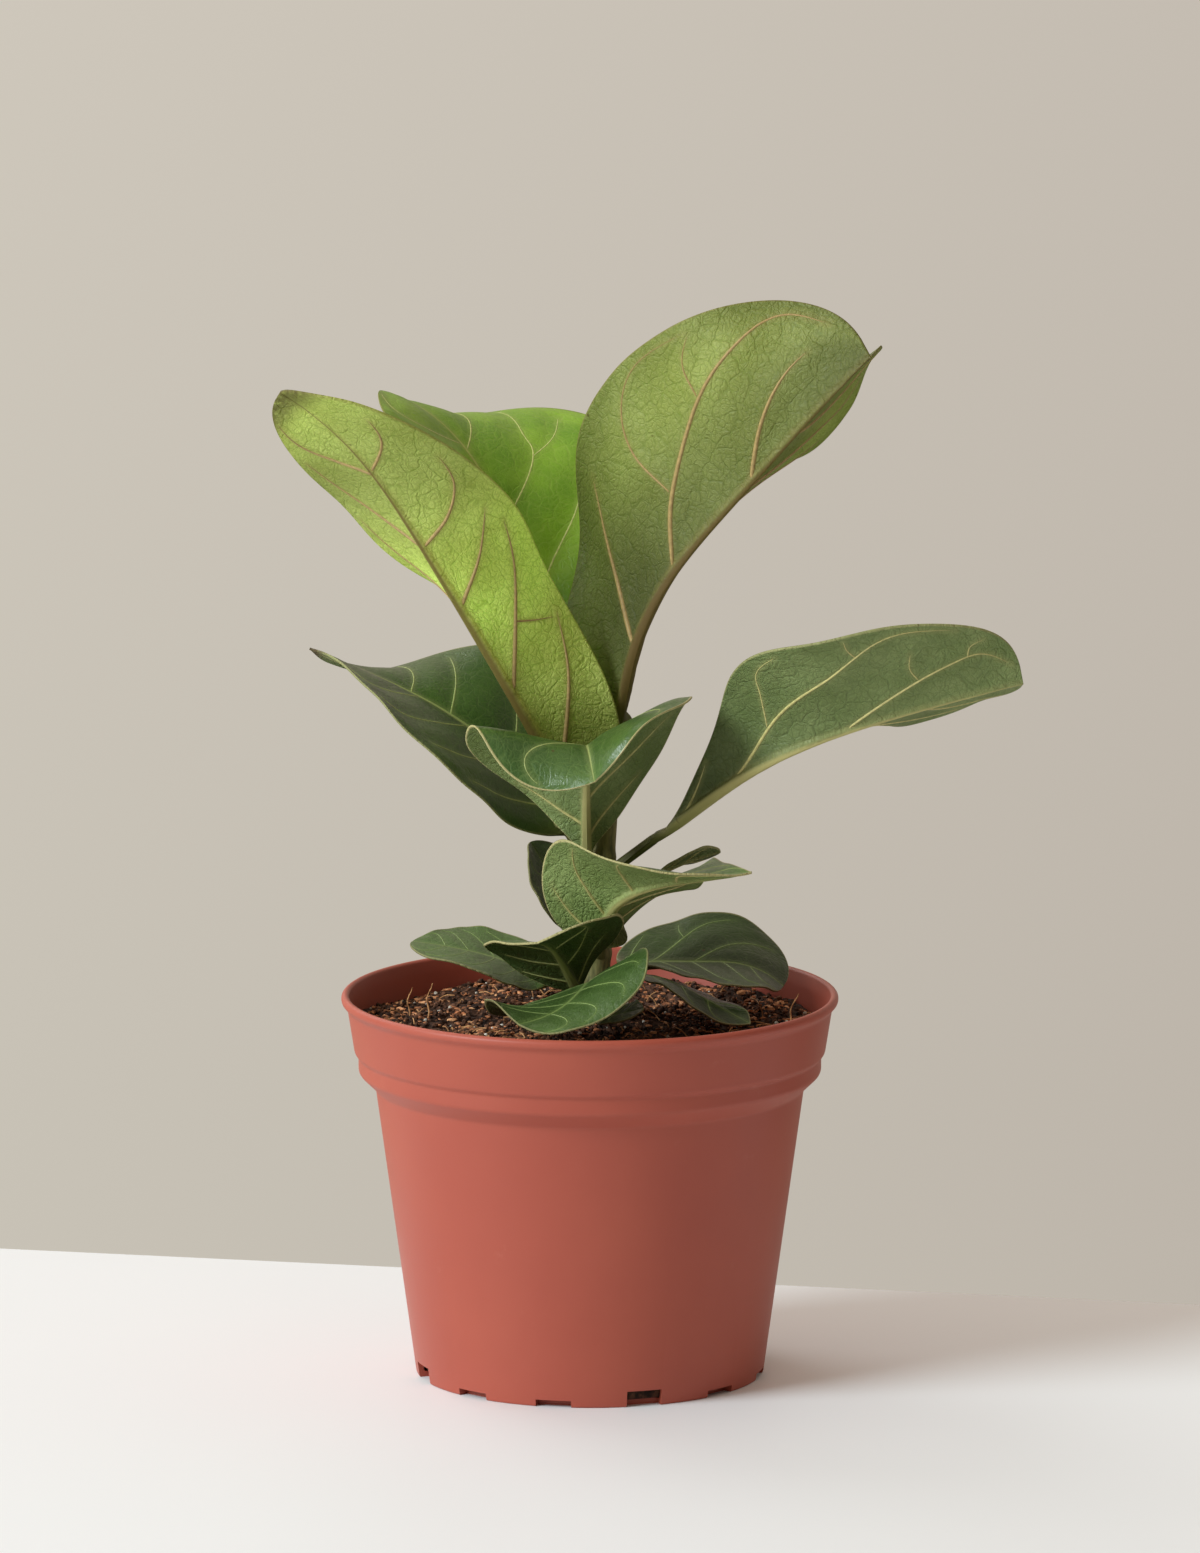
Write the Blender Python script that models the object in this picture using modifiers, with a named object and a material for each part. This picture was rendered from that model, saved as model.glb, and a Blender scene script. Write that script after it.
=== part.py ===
"""A young fiddle leaf fig, Ficus lyrata, in its plastic nursery pot.

Metres, +Z up. The origin is the middle of the pot's flat base and the front is -Y.
Angles are degrees: an azimuth is counted from +X towards +Y, a rise is counted up from level.
"""

from dataclasses import dataclass
from math import cos, log, pi, radians, sin, sqrt

import bmesh
import bpy
from mathutils import Vector

# Every piece keeps this gap to its neighbours.
CLEARANCE = 0.0003

# Pot: a six inch nursery pot with a rolled lip, a tall collar and a tapered body.
POT_HEIGHT = 0.118
RIM_RADIUS = 0.076
BASE_RADIUS = 0.0534
LIP_DEPTH = 0.0030
LIP_OVERHANG = 0.0018
COLLAR_DEPTH = 0.0180
COLLAR_TAPER = 0.0022
COLLAR_STEP = 0.0012
SHOULDER_DEPTH = 0.0290
SHOULDER_INSET = 0.0104
WALL = 0.0015
FLOOR = 0.0016
POT_SEGMENTS = 72

# Drain notches round the foot, four tall ones with two low ones between each pair.
NOTCH_COUNT = 12
FIRST_NOTCH_AZIMUTH = -72.0
TALL_NOTCH = (0.011, 0.0050)
LOW_NOTCH = (0.012, 0.0022)
NOTCH_REACH = 0.012

# Potting mix.
MIX_DROP = 0.0100
MIX_SWELL = 0.0022
MIX_RINGS = 7
MIX_SEGMENTS = 40

# Stem: (height above the mix, lean towards +X, radius).
STEM_ROUTE = (
    (-0.025, 0.0010, 0.0048),
    (0.002, 0.0012, 0.0046),
    (0.042, 0.0030, 0.0042),
    (0.082, 0.0060, 0.0036),
    (0.098, 0.0075, 0.0028),
)
BUD_LENGTH = 0.016
BUD_RADIUS = 0.0026

# Leaf blade.
BLADE_THICKNESS = 0.0007
TIP_HALF_WIDTH = 0.0005
STALK_SHARE = 0.95
STALK_BLEND = 0.10
RIB_STEPS = 120
WIDE_LEAF = 0.060

STRAW_RADIUS = 0.0005


@dataclass
class Leaf:
    """One leaf. A tuple holds values at equal steps from foot to tip, and a plain number holds all along."""

    name: str
    colour: tuple
    node: float
    petiole: float
    length: float
    width: float
    azimuth: tuple
    rise: tuple
    roll: tuple = (0,)
    fold_left: tuple = (15,)
    fold_right: tuple = (15,)
    curl_left: tuple = (0,)
    curl_right: tuple = (0,)
    widest: float = 0.60
    taper: float = 0.90
    blunt: float = 0.60
    stalk: float = 0.0016


UPPER_GREEN = (0.127, 0.184, 0.036)
MIDDLE_GREEN = (0.110, 0.156, 0.052)
LOW_GREEN = (0.060, 0.105, 0.030)
SHADED_GREEN = (0.035, 0.060, 0.018)

LEAVES = (
    Leaf("leaf_upper_right", UPPER_GREEN, node=0.075, petiole=0.018, length=0.151, width=0.112,
         azimuth=(-66, -43, -28, -25, -25), rise=(88, 69, 49, 47, 44), roll=(0, -66, -58, -64, -60),
         fold_left=(90, 112, 74, 68, 72), fold_right=(0, 35, 34, 20, 50), curl_right=(0, 10, 20),
         widest=0.54, taper=0.67, blunt=0.40),
    Leaf("leaf_upper_left", UPPER_GREEN, node=0.052, petiole=0.012, length=0.171, width=0.062,
         azimuth=(-127, -150, -162, -161, -172), rise=(66, 59, 59, 55, 31), roll=(17, 46, 74, 57, 47),
         fold_left=(30, 28, -7, -45), fold_right=(105, 104, 45, -10), curl_left=(0, 20, 30),
         widest=0.46, taper=0.38, blunt=0.38),
    Leaf("leaf_upper_back", LOW_GREEN, node=0.082, petiole=0.012, length=0.127, width=0.099,
         azimuth=(102, 141, 150, 155), rise=(59, 53, 58, 15), roll=(0, 12, 10, 50),
         fold_left=(31, 3, -36), fold_right=(84, 62, 40, 20), widest=0.63, taper=0.89, blunt=0.51),
    Leaf("leaf_middle_left", LOW_GREEN, node=0.050, petiole=0.010, length=0.100, width=0.076,
         azimuth=(140, 173, 167, 178), rise=(52, 45, 26, 21), roll=(-26, -17, -6, 24),
         fold_left=(-13, 7, -6), fold_right=(20, 20, -17), widest=0.52, taper=0.68, blunt=1.10),
    Leaf("leaf_middle_front", MIDDLE_GREEN, node=0.042, petiole=0.016, length=0.071, width=0.073,
         azimuth=(-104, -98, -92, -90, -85, -79), rise=(5, 74, 70, 60, -7, -44), roll=(0, 5, 6, 4, -10, 14),
         fold_left=(24, 33, 43, 60), fold_right=(11, 24, 2, -18), curl_left=(0, 0, -20, -30),
         widest=0.60, taper=1.35, blunt=0.47),
    Leaf("leaf_middle_right", MIDDLE_GREEN, node=0.050, petiole=0.014, length=0.136, width=0.073,
         azimuth=(-30, -38, -10, 9), rise=(37, 33, 19, 11), roll=(-20, -85, -59, -63),
         fold_left=(90, 96, 47, 44), fold_right=(22, 3, -3, 13), widest=0.62, taper=1.40, blunt=0.37),
    Leaf("leaf_lower_front", MIDDLE_GREEN, node=0.022, petiole=0.004, length=0.073, width=0.057,
         azimuth=(-80, -58, -33, -14), rise=(76, 33, 13, 9), roll=(-5, -50, -33, -2),
         fold_left=(60, 48, 16), fold_right=(12, -11, -3), widest=0.43, taper=0.50, blunt=1.00),
    Leaf("leaf_small_right", MIDDLE_GREEN, node=0.035, petiole=0.010, length=0.029, width=0.016,
         azimuth=(32, 18, 11), rise=(47, 24, 8), roll=(0, -20, -34), fold_left=(6,), fold_right=(2,),
         widest=0.65, stalk=0.0010),
    Leaf("leaf_small_back", SHADED_GREEN, node=0.022, petiole=0.004, length=0.033, width=0.032,
         azimuth=(150, 154, 160), rise=(70, 63, 56), roll=(-5,), fold_left=(10,), widest=0.55,
         stalk=0.0012),
    Leaf("leaf_low_right", SHADED_GREEN, node=0.013, petiole=0.008, length=RIM_RADIUS - 0.023, width=0.052,
         azimuth=(60, 12, 0, -6), rise=(22, -1, -3, -44), roll=(-10,),
         fold_left=(22, 35, 27), fold_right=(0, -12, -14), widest=0.56, taper=0.56, blunt=0.42),
    Leaf("leaf_low_left", LOW_GREEN, node=0.009, petiole=0.008, length=RIM_RADIUS - 0.030, width=0.041,
         azimuth=(150, 187, 162), rise=(26, 18, 3), roll=(-30, -5, 5),
         fold_left=(-4,), fold_right=(11,), widest=0.55, taper=0.50, blunt=0.53),
    Leaf("leaf_low_front", SHADED_GREEN, node=0.008, petiole=0.003, length=0.038, width=0.046,
         azimuth=(-124, -115, -113), rise=(52, 43, 6), roll=(25, 15, 7),
         fold_left=(50, 24, 20), fold_right=(0, 13, 0), widest=0.61, taper=0.87, blunt=0.45),
    Leaf("leaf_rim_front", LOW_GREEN, node=0.011, petiole=0.006, length=RIM_RADIUS - 0.016, width=0.056,
         azimuth=(-91, -108, -140), rise=(36, -9, -2), roll=(33, 25, -15),
         fold_left=(5,), fold_right=(7,), widest=0.56, taper=0.90, blunt=0.41),
    Leaf("leaf_lowest_front", LOW_GREEN, node=0.004, petiole=0.010, length=0.018, width=0.016,
         azimuth=(-88, -56, -15), rise=(4, 14, 18), roll=(18,), fold_left=(5,), fold_right=(5,),
         widest=0.55, stalk=0.0007),
    Leaf("leaf_low_drooping", SHADED_GREEN, node=0.014, petiole=0.008, length=0.039, width=0.030,
         azimuth=(-16, -19, -28), rise=(21, -22, -22), roll=(-4, -28, -5),
         fold_left=(13,), fold_right=(-20,), widest=0.51, taper=0.89, blunt=0.88, stalk=0.0010),
)


def clear_scene():
    for obj in list(bpy.data.objects):
        bpy.data.objects.remove(obj, do_unlink=True)


def collection(name):
    made = bpy.data.collections.new(name)
    bpy.context.scene.collection.children.link(made)
    return made


def material(name, colour, roughness):
    made = bpy.data.materials.new(name)
    made.use_nodes = True
    shader = made.node_tree.nodes["Principled BSDF"]
    shader.inputs["Base Color"].default_value = (*colour, 1.0)
    shader.inputs["Roughness"].default_value = roughness
    shader.inputs["Metallic"].default_value = 0.0
    return made


def add_mesh(name, mesh, home, finish=None):
    mesh.name = name
    obj = bpy.data.objects.new(name, mesh)
    home.objects.link(obj)
    if finish:
        mesh.materials.append(finish)
    return obj


def mesh_of(bm, crease_angle=40):
    bmesh.ops.recalc_face_normals(bm, faces=bm.faces)
    mesh = bpy.data.meshes.new("mesh")
    bm.to_mesh(mesh)
    bm.free()
    mesh.shade_smooth()
    mesh.set_sharp_from_angle(angle=radians(crease_angle))
    return mesh


def loft(rings):
    """A closed skin over rings that all hold the same number of points."""
    bm = bmesh.new()
    rows = [[bm.verts.new(point) for point in ring] for ring in rings]
    count = len(rows[0])
    for row, after in zip(rows, rows[1:]):
        for i in range(count):
            j = (i + 1) % count
            bm.faces.new((row[i], row[j], after[j], after[i]))
    bm.faces.new(reversed(rows[0]))
    bm.faces.new(rows[-1])
    return bm


# Pot ------------------------------------------------------------------------

LIP_FOOT = POT_HEIGHT - LIP_DEPTH
COLLAR_FOOT = POT_HEIGHT - COLLAR_DEPTH
COLLAR_TOP_RADIUS = RIM_RADIUS - LIP_OVERHANG
COLLAR_FOOT_RADIUS = COLLAR_TOP_RADIUS - COLLAR_TAPER
BAND_RADIUS = COLLAR_FOOT_RADIUS - COLLAR_STEP
SHOULDER_HEIGHT = POT_HEIGHT - SHOULDER_DEPTH
SHOULDER_RADIUS = RIM_RADIUS - SHOULDER_INSET


def pot_profile():
    """(radius, height) down the outside, under the floor, and back up the inside."""
    outside = (
        (RIM_RADIUS - 0.0014, POT_HEIGHT),
        (RIM_RADIUS, POT_HEIGHT - 0.0006),
        (RIM_RADIUS, LIP_FOOT + 0.0006),
        (COLLAR_TOP_RADIUS, LIP_FOOT - 0.0012),
        (COLLAR_FOOT_RADIUS, COLLAR_FOOT),
        (BAND_RADIUS, COLLAR_FOOT - 0.0012),
        (BAND_RADIUS, COLLAR_FOOT - 0.0060),
        (SHOULDER_RADIUS, SHOULDER_HEIGHT),
        (BASE_RADIUS, 0.0),
    )
    inside = (
        (0.0, FLOOR),
        (BASE_RADIUS - WALL, FLOOR),
        (SHOULDER_RADIUS - WALL, SHOULDER_HEIGHT),
        (BAND_RADIUS - WALL, COLLAR_FOOT - 0.0060 + WALL / 2),
        (COLLAR_TOP_RADIUS - WALL, LIP_FOOT - 0.0012),
    )
    return (*outside, (0.0, 0.0), *inside)


def inner_radius(height):
    """Radius of the pot's inner wall at this height."""
    wall = [(z, radius) for radius, z in pot_profile()[-4:]]
    for (low, start), (high, end) in zip(wall, wall[1:]):
        if height <= high:
            return start + (end - start) * max(0.0, height - low) / (high - low)
    return wall[-1][1]


def notch_cutter(index, home):
    tall = index % 3 == 0
    width, height = TALL_NOTCH if tall else LOW_NOTCH
    azimuth = radians(FIRST_NOTCH_AZIMUTH + index * 360 / NOTCH_COUNT)
    bpy.ops.mesh.primitive_cube_add(size=1)
    cutter = bpy.context.object
    cutter.name = f"notch_cutter_{index}"
    cutter.scale = (NOTCH_REACH, width, height * 2)
    middle = BASE_RADIUS - WALL - 0.002 + NOTCH_REACH / 2
    cutter.location = (middle * cos(azimuth), middle * sin(azimuth), 0)
    cutter.rotation_euler.z = azimuth
    hide_helper(cutter, home)
    return cutter


def move_to(obj, home):
    for other in obj.users_collection:
        other.objects.unlink(obj)
    home.objects.link(obj)


def hide_helper(obj, home):
    move_to(obj, home)
    obj.hide_render = True
    obj.display_type = "WIRE"


def make_pot(home, helpers):
    bm = bmesh.new()
    points = [bm.verts.new((radius, 0, height)) for radius, height in pot_profile()]
    for start, end in zip(points, points[1:] + points[:1]):
        if start.co.x > 0 or end.co.x > 0:
            bm.edges.new((start, end))
    mesh = bpy.data.meshes.new("pot")
    bm.to_mesh(mesh)
    bm.free()
    pot = add_mesh("pot", mesh, home, material("terracotta plastic", (0.45, 0.135, 0.082), 0.45))
    turned = pot.modifiers.new("turned", "SCREW")
    turned.steps = POT_SEGMENTS
    turned.render_steps = POT_SEGMENTS
    turned.use_merge_vertices = True
    turned.merge_threshold = 0.00005
    for index in range(NOTCH_COUNT):
        cut = pot.modifiers.new(f"notch {index}", "BOOLEAN")
        cut.object = notch_cutter(index, helpers)


# Potting mix ----------------------------------------------------------------

MIX_LEVEL = POT_HEIGHT - MIX_DROP


def mix_height(x, y):
    """Height of the mix's surface, which is gently uneven."""
    swell = sin(90 * x + 0.6) * cos(75 * y - 0.4) + 0.5 * sin(210 * x - 160 * y)
    return MIX_LEVEL + MIX_SWELL * swell / 1.5


def make_mix(home, helpers):
    bm = bmesh.new()
    outer = inner_radius(MIX_LEVEL - MIX_SWELL) - CLEARANCE
    shoulder = inner_radius(SHOULDER_HEIGHT) - CLEARANCE
    foot = inner_radius(FLOOR) - CLEARANCE
    bed = FLOOR + CLEARANCE
    profile = [(outer * i / MIX_RINGS, MIX_LEVEL) for i in range(MIX_RINGS + 1)]
    profile += [(shoulder, SHOULDER_HEIGHT - CLEARANCE), (foot, bed), (0.0, bed)]
    points = [bm.verts.new((radius, 0, height)) for radius, height in profile]
    edges = [bm.edges.new(pair) for pair in zip(points, points[1:])]
    bmesh.ops.spin(bm, geom=points + edges, axis=(0, 0, 1), cent=(0, 0, 0), steps=MIX_SEGMENTS,
                   angle=2 * pi, use_duplicate=False)
    bmesh.ops.remove_doubles(bm, verts=bm.verts, dist=0.00005)
    for vert in bm.verts:
        if abs(vert.co.z - MIX_LEVEL) < 0.00001:
            vert.co.z = mix_height(vert.co.x, vert.co.y)
    mix = add_mesh("potting_mix", mesh_of(bm), home, material("potting mix", (0.05, 0.026, 0.016), 0.95))
    hole = stem_tube("stem_hole", CLEARANCE, helpers, None)
    hide_helper(hole, helpers)
    cut = mix.modifiers.new("stem hole", "BOOLEAN")
    cut.object = hole


# Stem -----------------------------------------------------------------------


def stem_at(node):
    """(centre, radius) of the stem at this height above the mix."""
    for (low, lean, radius), (high, lean_after, radius_after) in zip(STEM_ROUTE, STEM_ROUTE[1:]):
        if node <= high:
            share = (node - low) / (high - low)
            centre = Vector((lean + (lean_after - lean) * share, 0, MIX_LEVEL + node))
            return centre, radius + (radius_after - radius) * share
    raise ValueError("node above the stem's top")


def stem_tube(name, grow, home, finish):
    """The stem as a closed tube, grown outwards by this much."""
    curve = bpy.data.curves.new(name, "CURVE")
    curve.dimensions = "3D"
    curve.bevel_depth = 1.0
    curve.bevel_resolution = 4
    curve.use_fill_caps = True
    line = curve.splines.new("POLY")
    line.points.add(len(STEM_ROUTE) - 1)
    for point, (node, lean, radius) in zip(line.points, STEM_ROUTE):
        beyond = grow if node == STEM_ROUTE[0][0] else 0.0
        point.co = (lean, 0, MIX_LEVEL + node - beyond, 1)
        point.radius = radius + grow
    return curve_to_mesh(curve, home, finish)


def curve_to_mesh(curve, home, finish):
    guide = bpy.data.objects.new(curve.name, curve)
    home.objects.link(guide)
    graph = bpy.context.evaluated_depsgraph_get()
    mesh = bpy.data.meshes.new_from_object(guide.evaluated_get(graph))
    bpy.data.objects.remove(guide, do_unlink=True)
    bm = bmesh.new()
    bm.from_mesh(mesh)
    bmesh.ops.remove_doubles(bm, verts=bm.verts, dist=0.00001)
    return add_mesh(curve.name, mesh_of(bm), home, finish)


def make_bud(home):
    """The pointed sheath at the stem's tip, over the next leaf."""
    top, lean, _ = STEM_ROUTE[-1]
    bpy.ops.mesh.primitive_uv_sphere_add(segments=12, ring_count=8, radius=1)
    bud = bpy.context.object
    bud.name = "terminal_bud"
    for vert in bud.data.vertices:
        slimmed = BUD_RADIUS * (1 - 0.45 * max(0.0, vert.co.z))
        vert.co = (vert.co.x * slimmed, vert.co.y * slimmed, vert.co.z * BUD_LENGTH / 2)
    bud.location = (lean, 0, MIX_LEVEL + top + CLEARANCE + BUD_LENGTH / 2)
    bud.data.shade_smooth()
    bud.data.materials.append(material("bud sheath", (0.20, 0.13, 0.05), 0.55))
    move_to(bud, home)


# Leaves ---------------------------------------------------------------------


def through(stations, share):
    """The smooth value at this share of the way through equally spaced stations."""
    last = len(stations) - 1
    if last == 0:
        return float(stations[0])
    place = min(max(share, 0.0), 1.0) * last
    i = min(int(place), last - 1)
    u = place - i
    slope = stations[min(i + 1, last)] - stations[max(i - 1, 0)]
    slope_after = stations[min(i + 2, last)] - stations[i]
    slope /= 2 if i > 0 else 1
    slope_after /= 2 if i + 2 <= last else 1
    return (
        (2 * u**3 - 3 * u**2 + 1) * stations[i]
        + (u**3 - 2 * u**2 + u) * slope
        + (3 * u**2 - 2 * u**3) * stations[i + 1]
        + (u**3 - u**2) * slope_after
    )


def direction(leaf, share):
    azimuth = radians(through(leaf.azimuth, share))
    rise = radians(through(leaf.rise, share))
    return Vector((cos(rise) * cos(azimuth), cos(rise) * sin(azimuth), sin(rise)))


def rib_route(leaf):
    """Points along the petiole and midrib, from the stem's surface to the tip."""
    azimuth = radians(leaf.azimuth[0])
    centre, radius = stem_at(leaf.node)
    reach = radius + leaf.stalk + CLEARANCE
    route = [centre + reach * Vector((cos(azimuth), sin(azimuth), 0))]
    step = (leaf.petiole + leaf.length) / RIB_STEPS
    for i in range(RIB_STEPS):
        ahead = direction(leaf, i / RIB_STEPS) + direction(leaf, (i + 1) / RIB_STEPS)
        route.append(route[-1] + ahead * step / 2)
    return route


def cross_axes(leaf, share):
    """Unit vectors to the leaf's left and out of its upper side."""
    azimuth = radians(through(leaf.azimuth, share))
    level = Vector((-sin(azimuth), cos(azimuth), 0))
    upright = direction(leaf, share).cross(level)
    roll = radians(through(leaf.roll, share))
    return level * cos(roll) + upright * sin(roll), upright * cos(roll) - level * sin(roll)


def half_width(leaf, share):
    """Half the blade's width at this share of its length: narrow at the base, broad beyond the middle."""
    place = share ** (log(0.5) / log(leaf.widest))
    power = leaf.taper + (leaf.blunt - leaf.taper) * share
    return leaf.width / 2 * max(0.0, sin(pi * place)) ** power


def columns(leaf):
    """Places across the blade, from -1 at the right margin to 1 at the left one."""
    each_side = 4 if leaf.width >= WIDE_LEAF else 3
    return [i / each_side for i in range(each_side, -each_side - 1, -1)]


def section(leaf, share, centre, left, up):
    """Ring round the leaf: its upper side from left to right, then its underside back again."""
    blade = max(0.0, (share * (leaf.petiole + leaf.length) - leaf.petiole) / leaf.length)
    opened = min(1.0, blade / STALK_BLEND)
    opened = opened * opened * (3 - 2 * opened)
    half = half_width(leaf, blade)
    half = max(half, leaf.stalk * STALK_SHARE * (1 - opened), TIP_HALF_WIDTH)
    upper = []
    under = []
    for v in columns(leaf):
        fold = leaf.fold_left if v >= 0 else leaf.fold_right
        curl = leaf.curl_left if v >= 0 else leaf.curl_right
        side = 1 if v >= 0 else -1
        bend = radians(through(fold, blade)) * opened
        bow = max(radians(through(curl, blade)), 0.0001)
        reach = abs(v)
        across = (sin(bend + bow * reach) - sin(bend)) / bow * half * side
        lift = (cos(bend) - cos(bend + bow * reach)) / bow * half
        facing = bend + bow * reach
        normal = up * cos(facing) - left * (sin(facing) * side)
        if v == 0:
            other = radians(through(leaf.fold_right, blade)) * opened
            normal = (normal + up * cos(other) + left * sin(other)).normalized()
        spot = centre + left * across + up * lift
        round_half = leaf.stalk * sqrt(1 - (STALK_SHARE * v) ** 2) * (1 - opened)
        rib = 1.1 * leaf.stalk * (1 - blade) * opened if v == 0 else 0.0
        upper.append(spot + normal * round_half)
        under.append(spot - normal * (round_half + BLADE_THICKNESS * opened + rib))
    return upper + under[::-1]


def make_leaf(leaf, home):
    route = rib_route(leaf)
    petiole_share = leaf.petiole / (leaf.petiole + leaf.length)
    blade_rings = 14 if leaf.width >= WIDE_LEAF else 11
    shares = [0.0, petiole_share / 2]
    for i in range(blade_rings + 1):
        along = (1 - cos(pi * i / blade_rings)) / 2
        shares.append(petiole_share + (1 - petiole_share) * along)
    rings = []
    for share in shares:
        left, up = cross_axes(leaf, share)
        rings.append(section(leaf, share, route[round(share * RIB_STEPS)], left, up))
    finish = material(leaf.name, leaf.colour, 0.45)
    add_mesh(leaf.name, mesh_of(loft(rings)), home, finish)


# Straws ---------------------------------------------------------------------


def make_straw(name, x, y, rise, lean, bow, home):
    """A dry fibre that stands on the mix, leans towards +X and bows on the way."""
    curve = bpy.data.curves.new(name, "CURVE")
    curve.dimensions = "3D"
    curve.bevel_depth = STRAW_RADIUS
    curve.bevel_resolution = 1
    curve.use_fill_caps = True
    line = curve.splines.new("POLY")
    steps = 4
    line.points.add(steps)
    foot = mix_height(x, y) + 3 * CLEARANCE
    for i, point in enumerate(line.points):
        share = i / steps
        point.co = (x + lean * share + bow * sin(pi * share), y, foot + rise * share, 1)
    curve_to_mesh(curve, home, material("dry straw", (0.42, 0.30, 0.16), 0.8))


def main():
    clear_scene()
    plant = collection("potted fiddle leaf fig")
    helpers = collection("cutters")
    make_pot(plant, helpers)
    make_mix(plant, helpers)
    stem_tube("stem", 0.0, plant, material("stem bark", (0.16, 0.17, 0.07), 0.7))
    make_bud(plant)
    for leaf in LEAVES:
        make_leaf(leaf, plant)
    make_straw("straw_left", 0.020 - RIM_RADIUS, 0.004, 0.0080, 0.0005, 0.0010, plant)
    make_straw("straw_left_inner", 0.026 - RIM_RADIUS, 0.002, 0.0095, 0.0015, -0.0008, plant)
    make_straw("straw_right", RIM_RADIUS - 0.016, -0.004, 0.0090, 0.0030, 0.0015, plant)


main()
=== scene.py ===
"""Looks of the potted fiddle leaf fig: veined leaves, stem, crumbly mix and moulded pot."""

from dataclasses import dataclass
from math import cos, pi, radians, sin
from random import Random

import bmesh
import bpy
import numpy as np
from mathutils import Matrix, Vector


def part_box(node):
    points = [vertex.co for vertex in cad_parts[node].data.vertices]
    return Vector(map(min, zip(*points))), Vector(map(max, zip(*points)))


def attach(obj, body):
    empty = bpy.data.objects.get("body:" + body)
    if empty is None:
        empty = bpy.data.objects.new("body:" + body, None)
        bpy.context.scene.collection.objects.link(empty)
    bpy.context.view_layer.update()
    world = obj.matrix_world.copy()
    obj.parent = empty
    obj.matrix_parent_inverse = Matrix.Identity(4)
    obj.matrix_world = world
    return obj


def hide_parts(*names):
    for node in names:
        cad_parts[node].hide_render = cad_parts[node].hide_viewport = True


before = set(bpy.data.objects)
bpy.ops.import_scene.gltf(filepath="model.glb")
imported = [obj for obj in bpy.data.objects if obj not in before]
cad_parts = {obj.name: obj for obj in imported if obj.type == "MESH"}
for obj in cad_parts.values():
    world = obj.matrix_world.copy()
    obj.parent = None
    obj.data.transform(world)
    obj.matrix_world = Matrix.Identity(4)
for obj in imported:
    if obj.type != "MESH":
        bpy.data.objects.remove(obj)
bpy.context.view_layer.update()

MM = 0.001


def rgb(red, green, blue):
    """A screen colour of 0 to 255 as the linear colour that a shader takes."""
    shares = [channel / 255 for channel in (red, green, blue)]
    return tuple(s / 12.92 if s <= 0.04045 else ((s + 0.055) / 1.055) ** 2.4 for s in shares)


# Places from the frame --------------------------------------------------------------

POT_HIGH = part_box("pot")[1]
RIM_HEIGHT = POT_HIGH.z
RIM_RADIUS = POT_HIGH.x
MIX_DROP = 10 * MM
MIX_LEVEL = RIM_HEIGHT - MIX_DROP
CLEARANCE = 0.3 * MM

# (height above the mix, lean towards +X, radius)
STEM_ROUTE = (
    (-0.025, 0.0010, 0.0048),
    (0.002, 0.0012, 0.0046),
    (0.042, 0.0030, 0.0042),
    (0.082, 0.0060, 0.0036),
    (0.098, 0.0075, 0.0028),
)


# Leaves -----------------------------------------------------------------------------


@dataclass
class Leaf:
    """One leaf: lengths in metres, angles in degrees, node the height of its foot above the mix.

    A tuple holds values at equal steps from foot to tip. Rise is the climb of the midrib, roll its turn
    about itself, and fold and curl lift each half blade off the flat at the midrib and out to the margin.
    Widest is where along the blade it is widest, and a low taper or blunt makes its foot or tip broad.
    Stalk is half the thickness of the petiole. A vein is the share of the blade where it leaves the midrib,
    or its own line of points: the share of the way out to the margin, then of the way to the tip.

    Edge is how strongly the pale margin line shows, and scorch how brown the tip is. The last two fields
    paint light and shade into the blade's colour: the first lightens or darkens it along its length, where
    light comes through it or other leaves shade it, and the second does the same from the midrib out to the
    margin.
    """

    name: str
    slot: str
    node: float
    petiole: float
    length: float
    width: float
    azimuth: tuple
    rise: tuple
    roll: tuple = (0,)
    fold_left: tuple = (15,)
    fold_right: tuple = (15,)
    curl_left: tuple = (0,)
    curl_right: tuple = (0,)
    widest: float = 0.60
    taper: float = 0.90
    blunt: float = 0.60
    stalk: float = 0.0016
    veins_left: tuple = (0.06, 0.24, 0.43, 0.61, 0.77)
    veins_right: tuple = (0.06, 0.24, 0.43, 0.61, 0.77)
    vein_radius: float = 0.5
    edge: float = 0.4
    scorch: float = 0.0
    # painted light and shade along the blade and out across it
    tone: tuple = (1.0,)
    tone_out: tuple = (1.0,)


FEW_VEINS = (0.12, 0.36, 0.60)

# A side vein without its own line: (way out to the margin, way gained towards the tip)
PLAIN_VEIN = ((0, 0), (0.38, 0.07), (0.70, 0.15), (0.88, 0.25))

# The last two fields of a leaf paint light and shade: brighter where light shines through it, darker where
# other leaves shade it.
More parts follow.
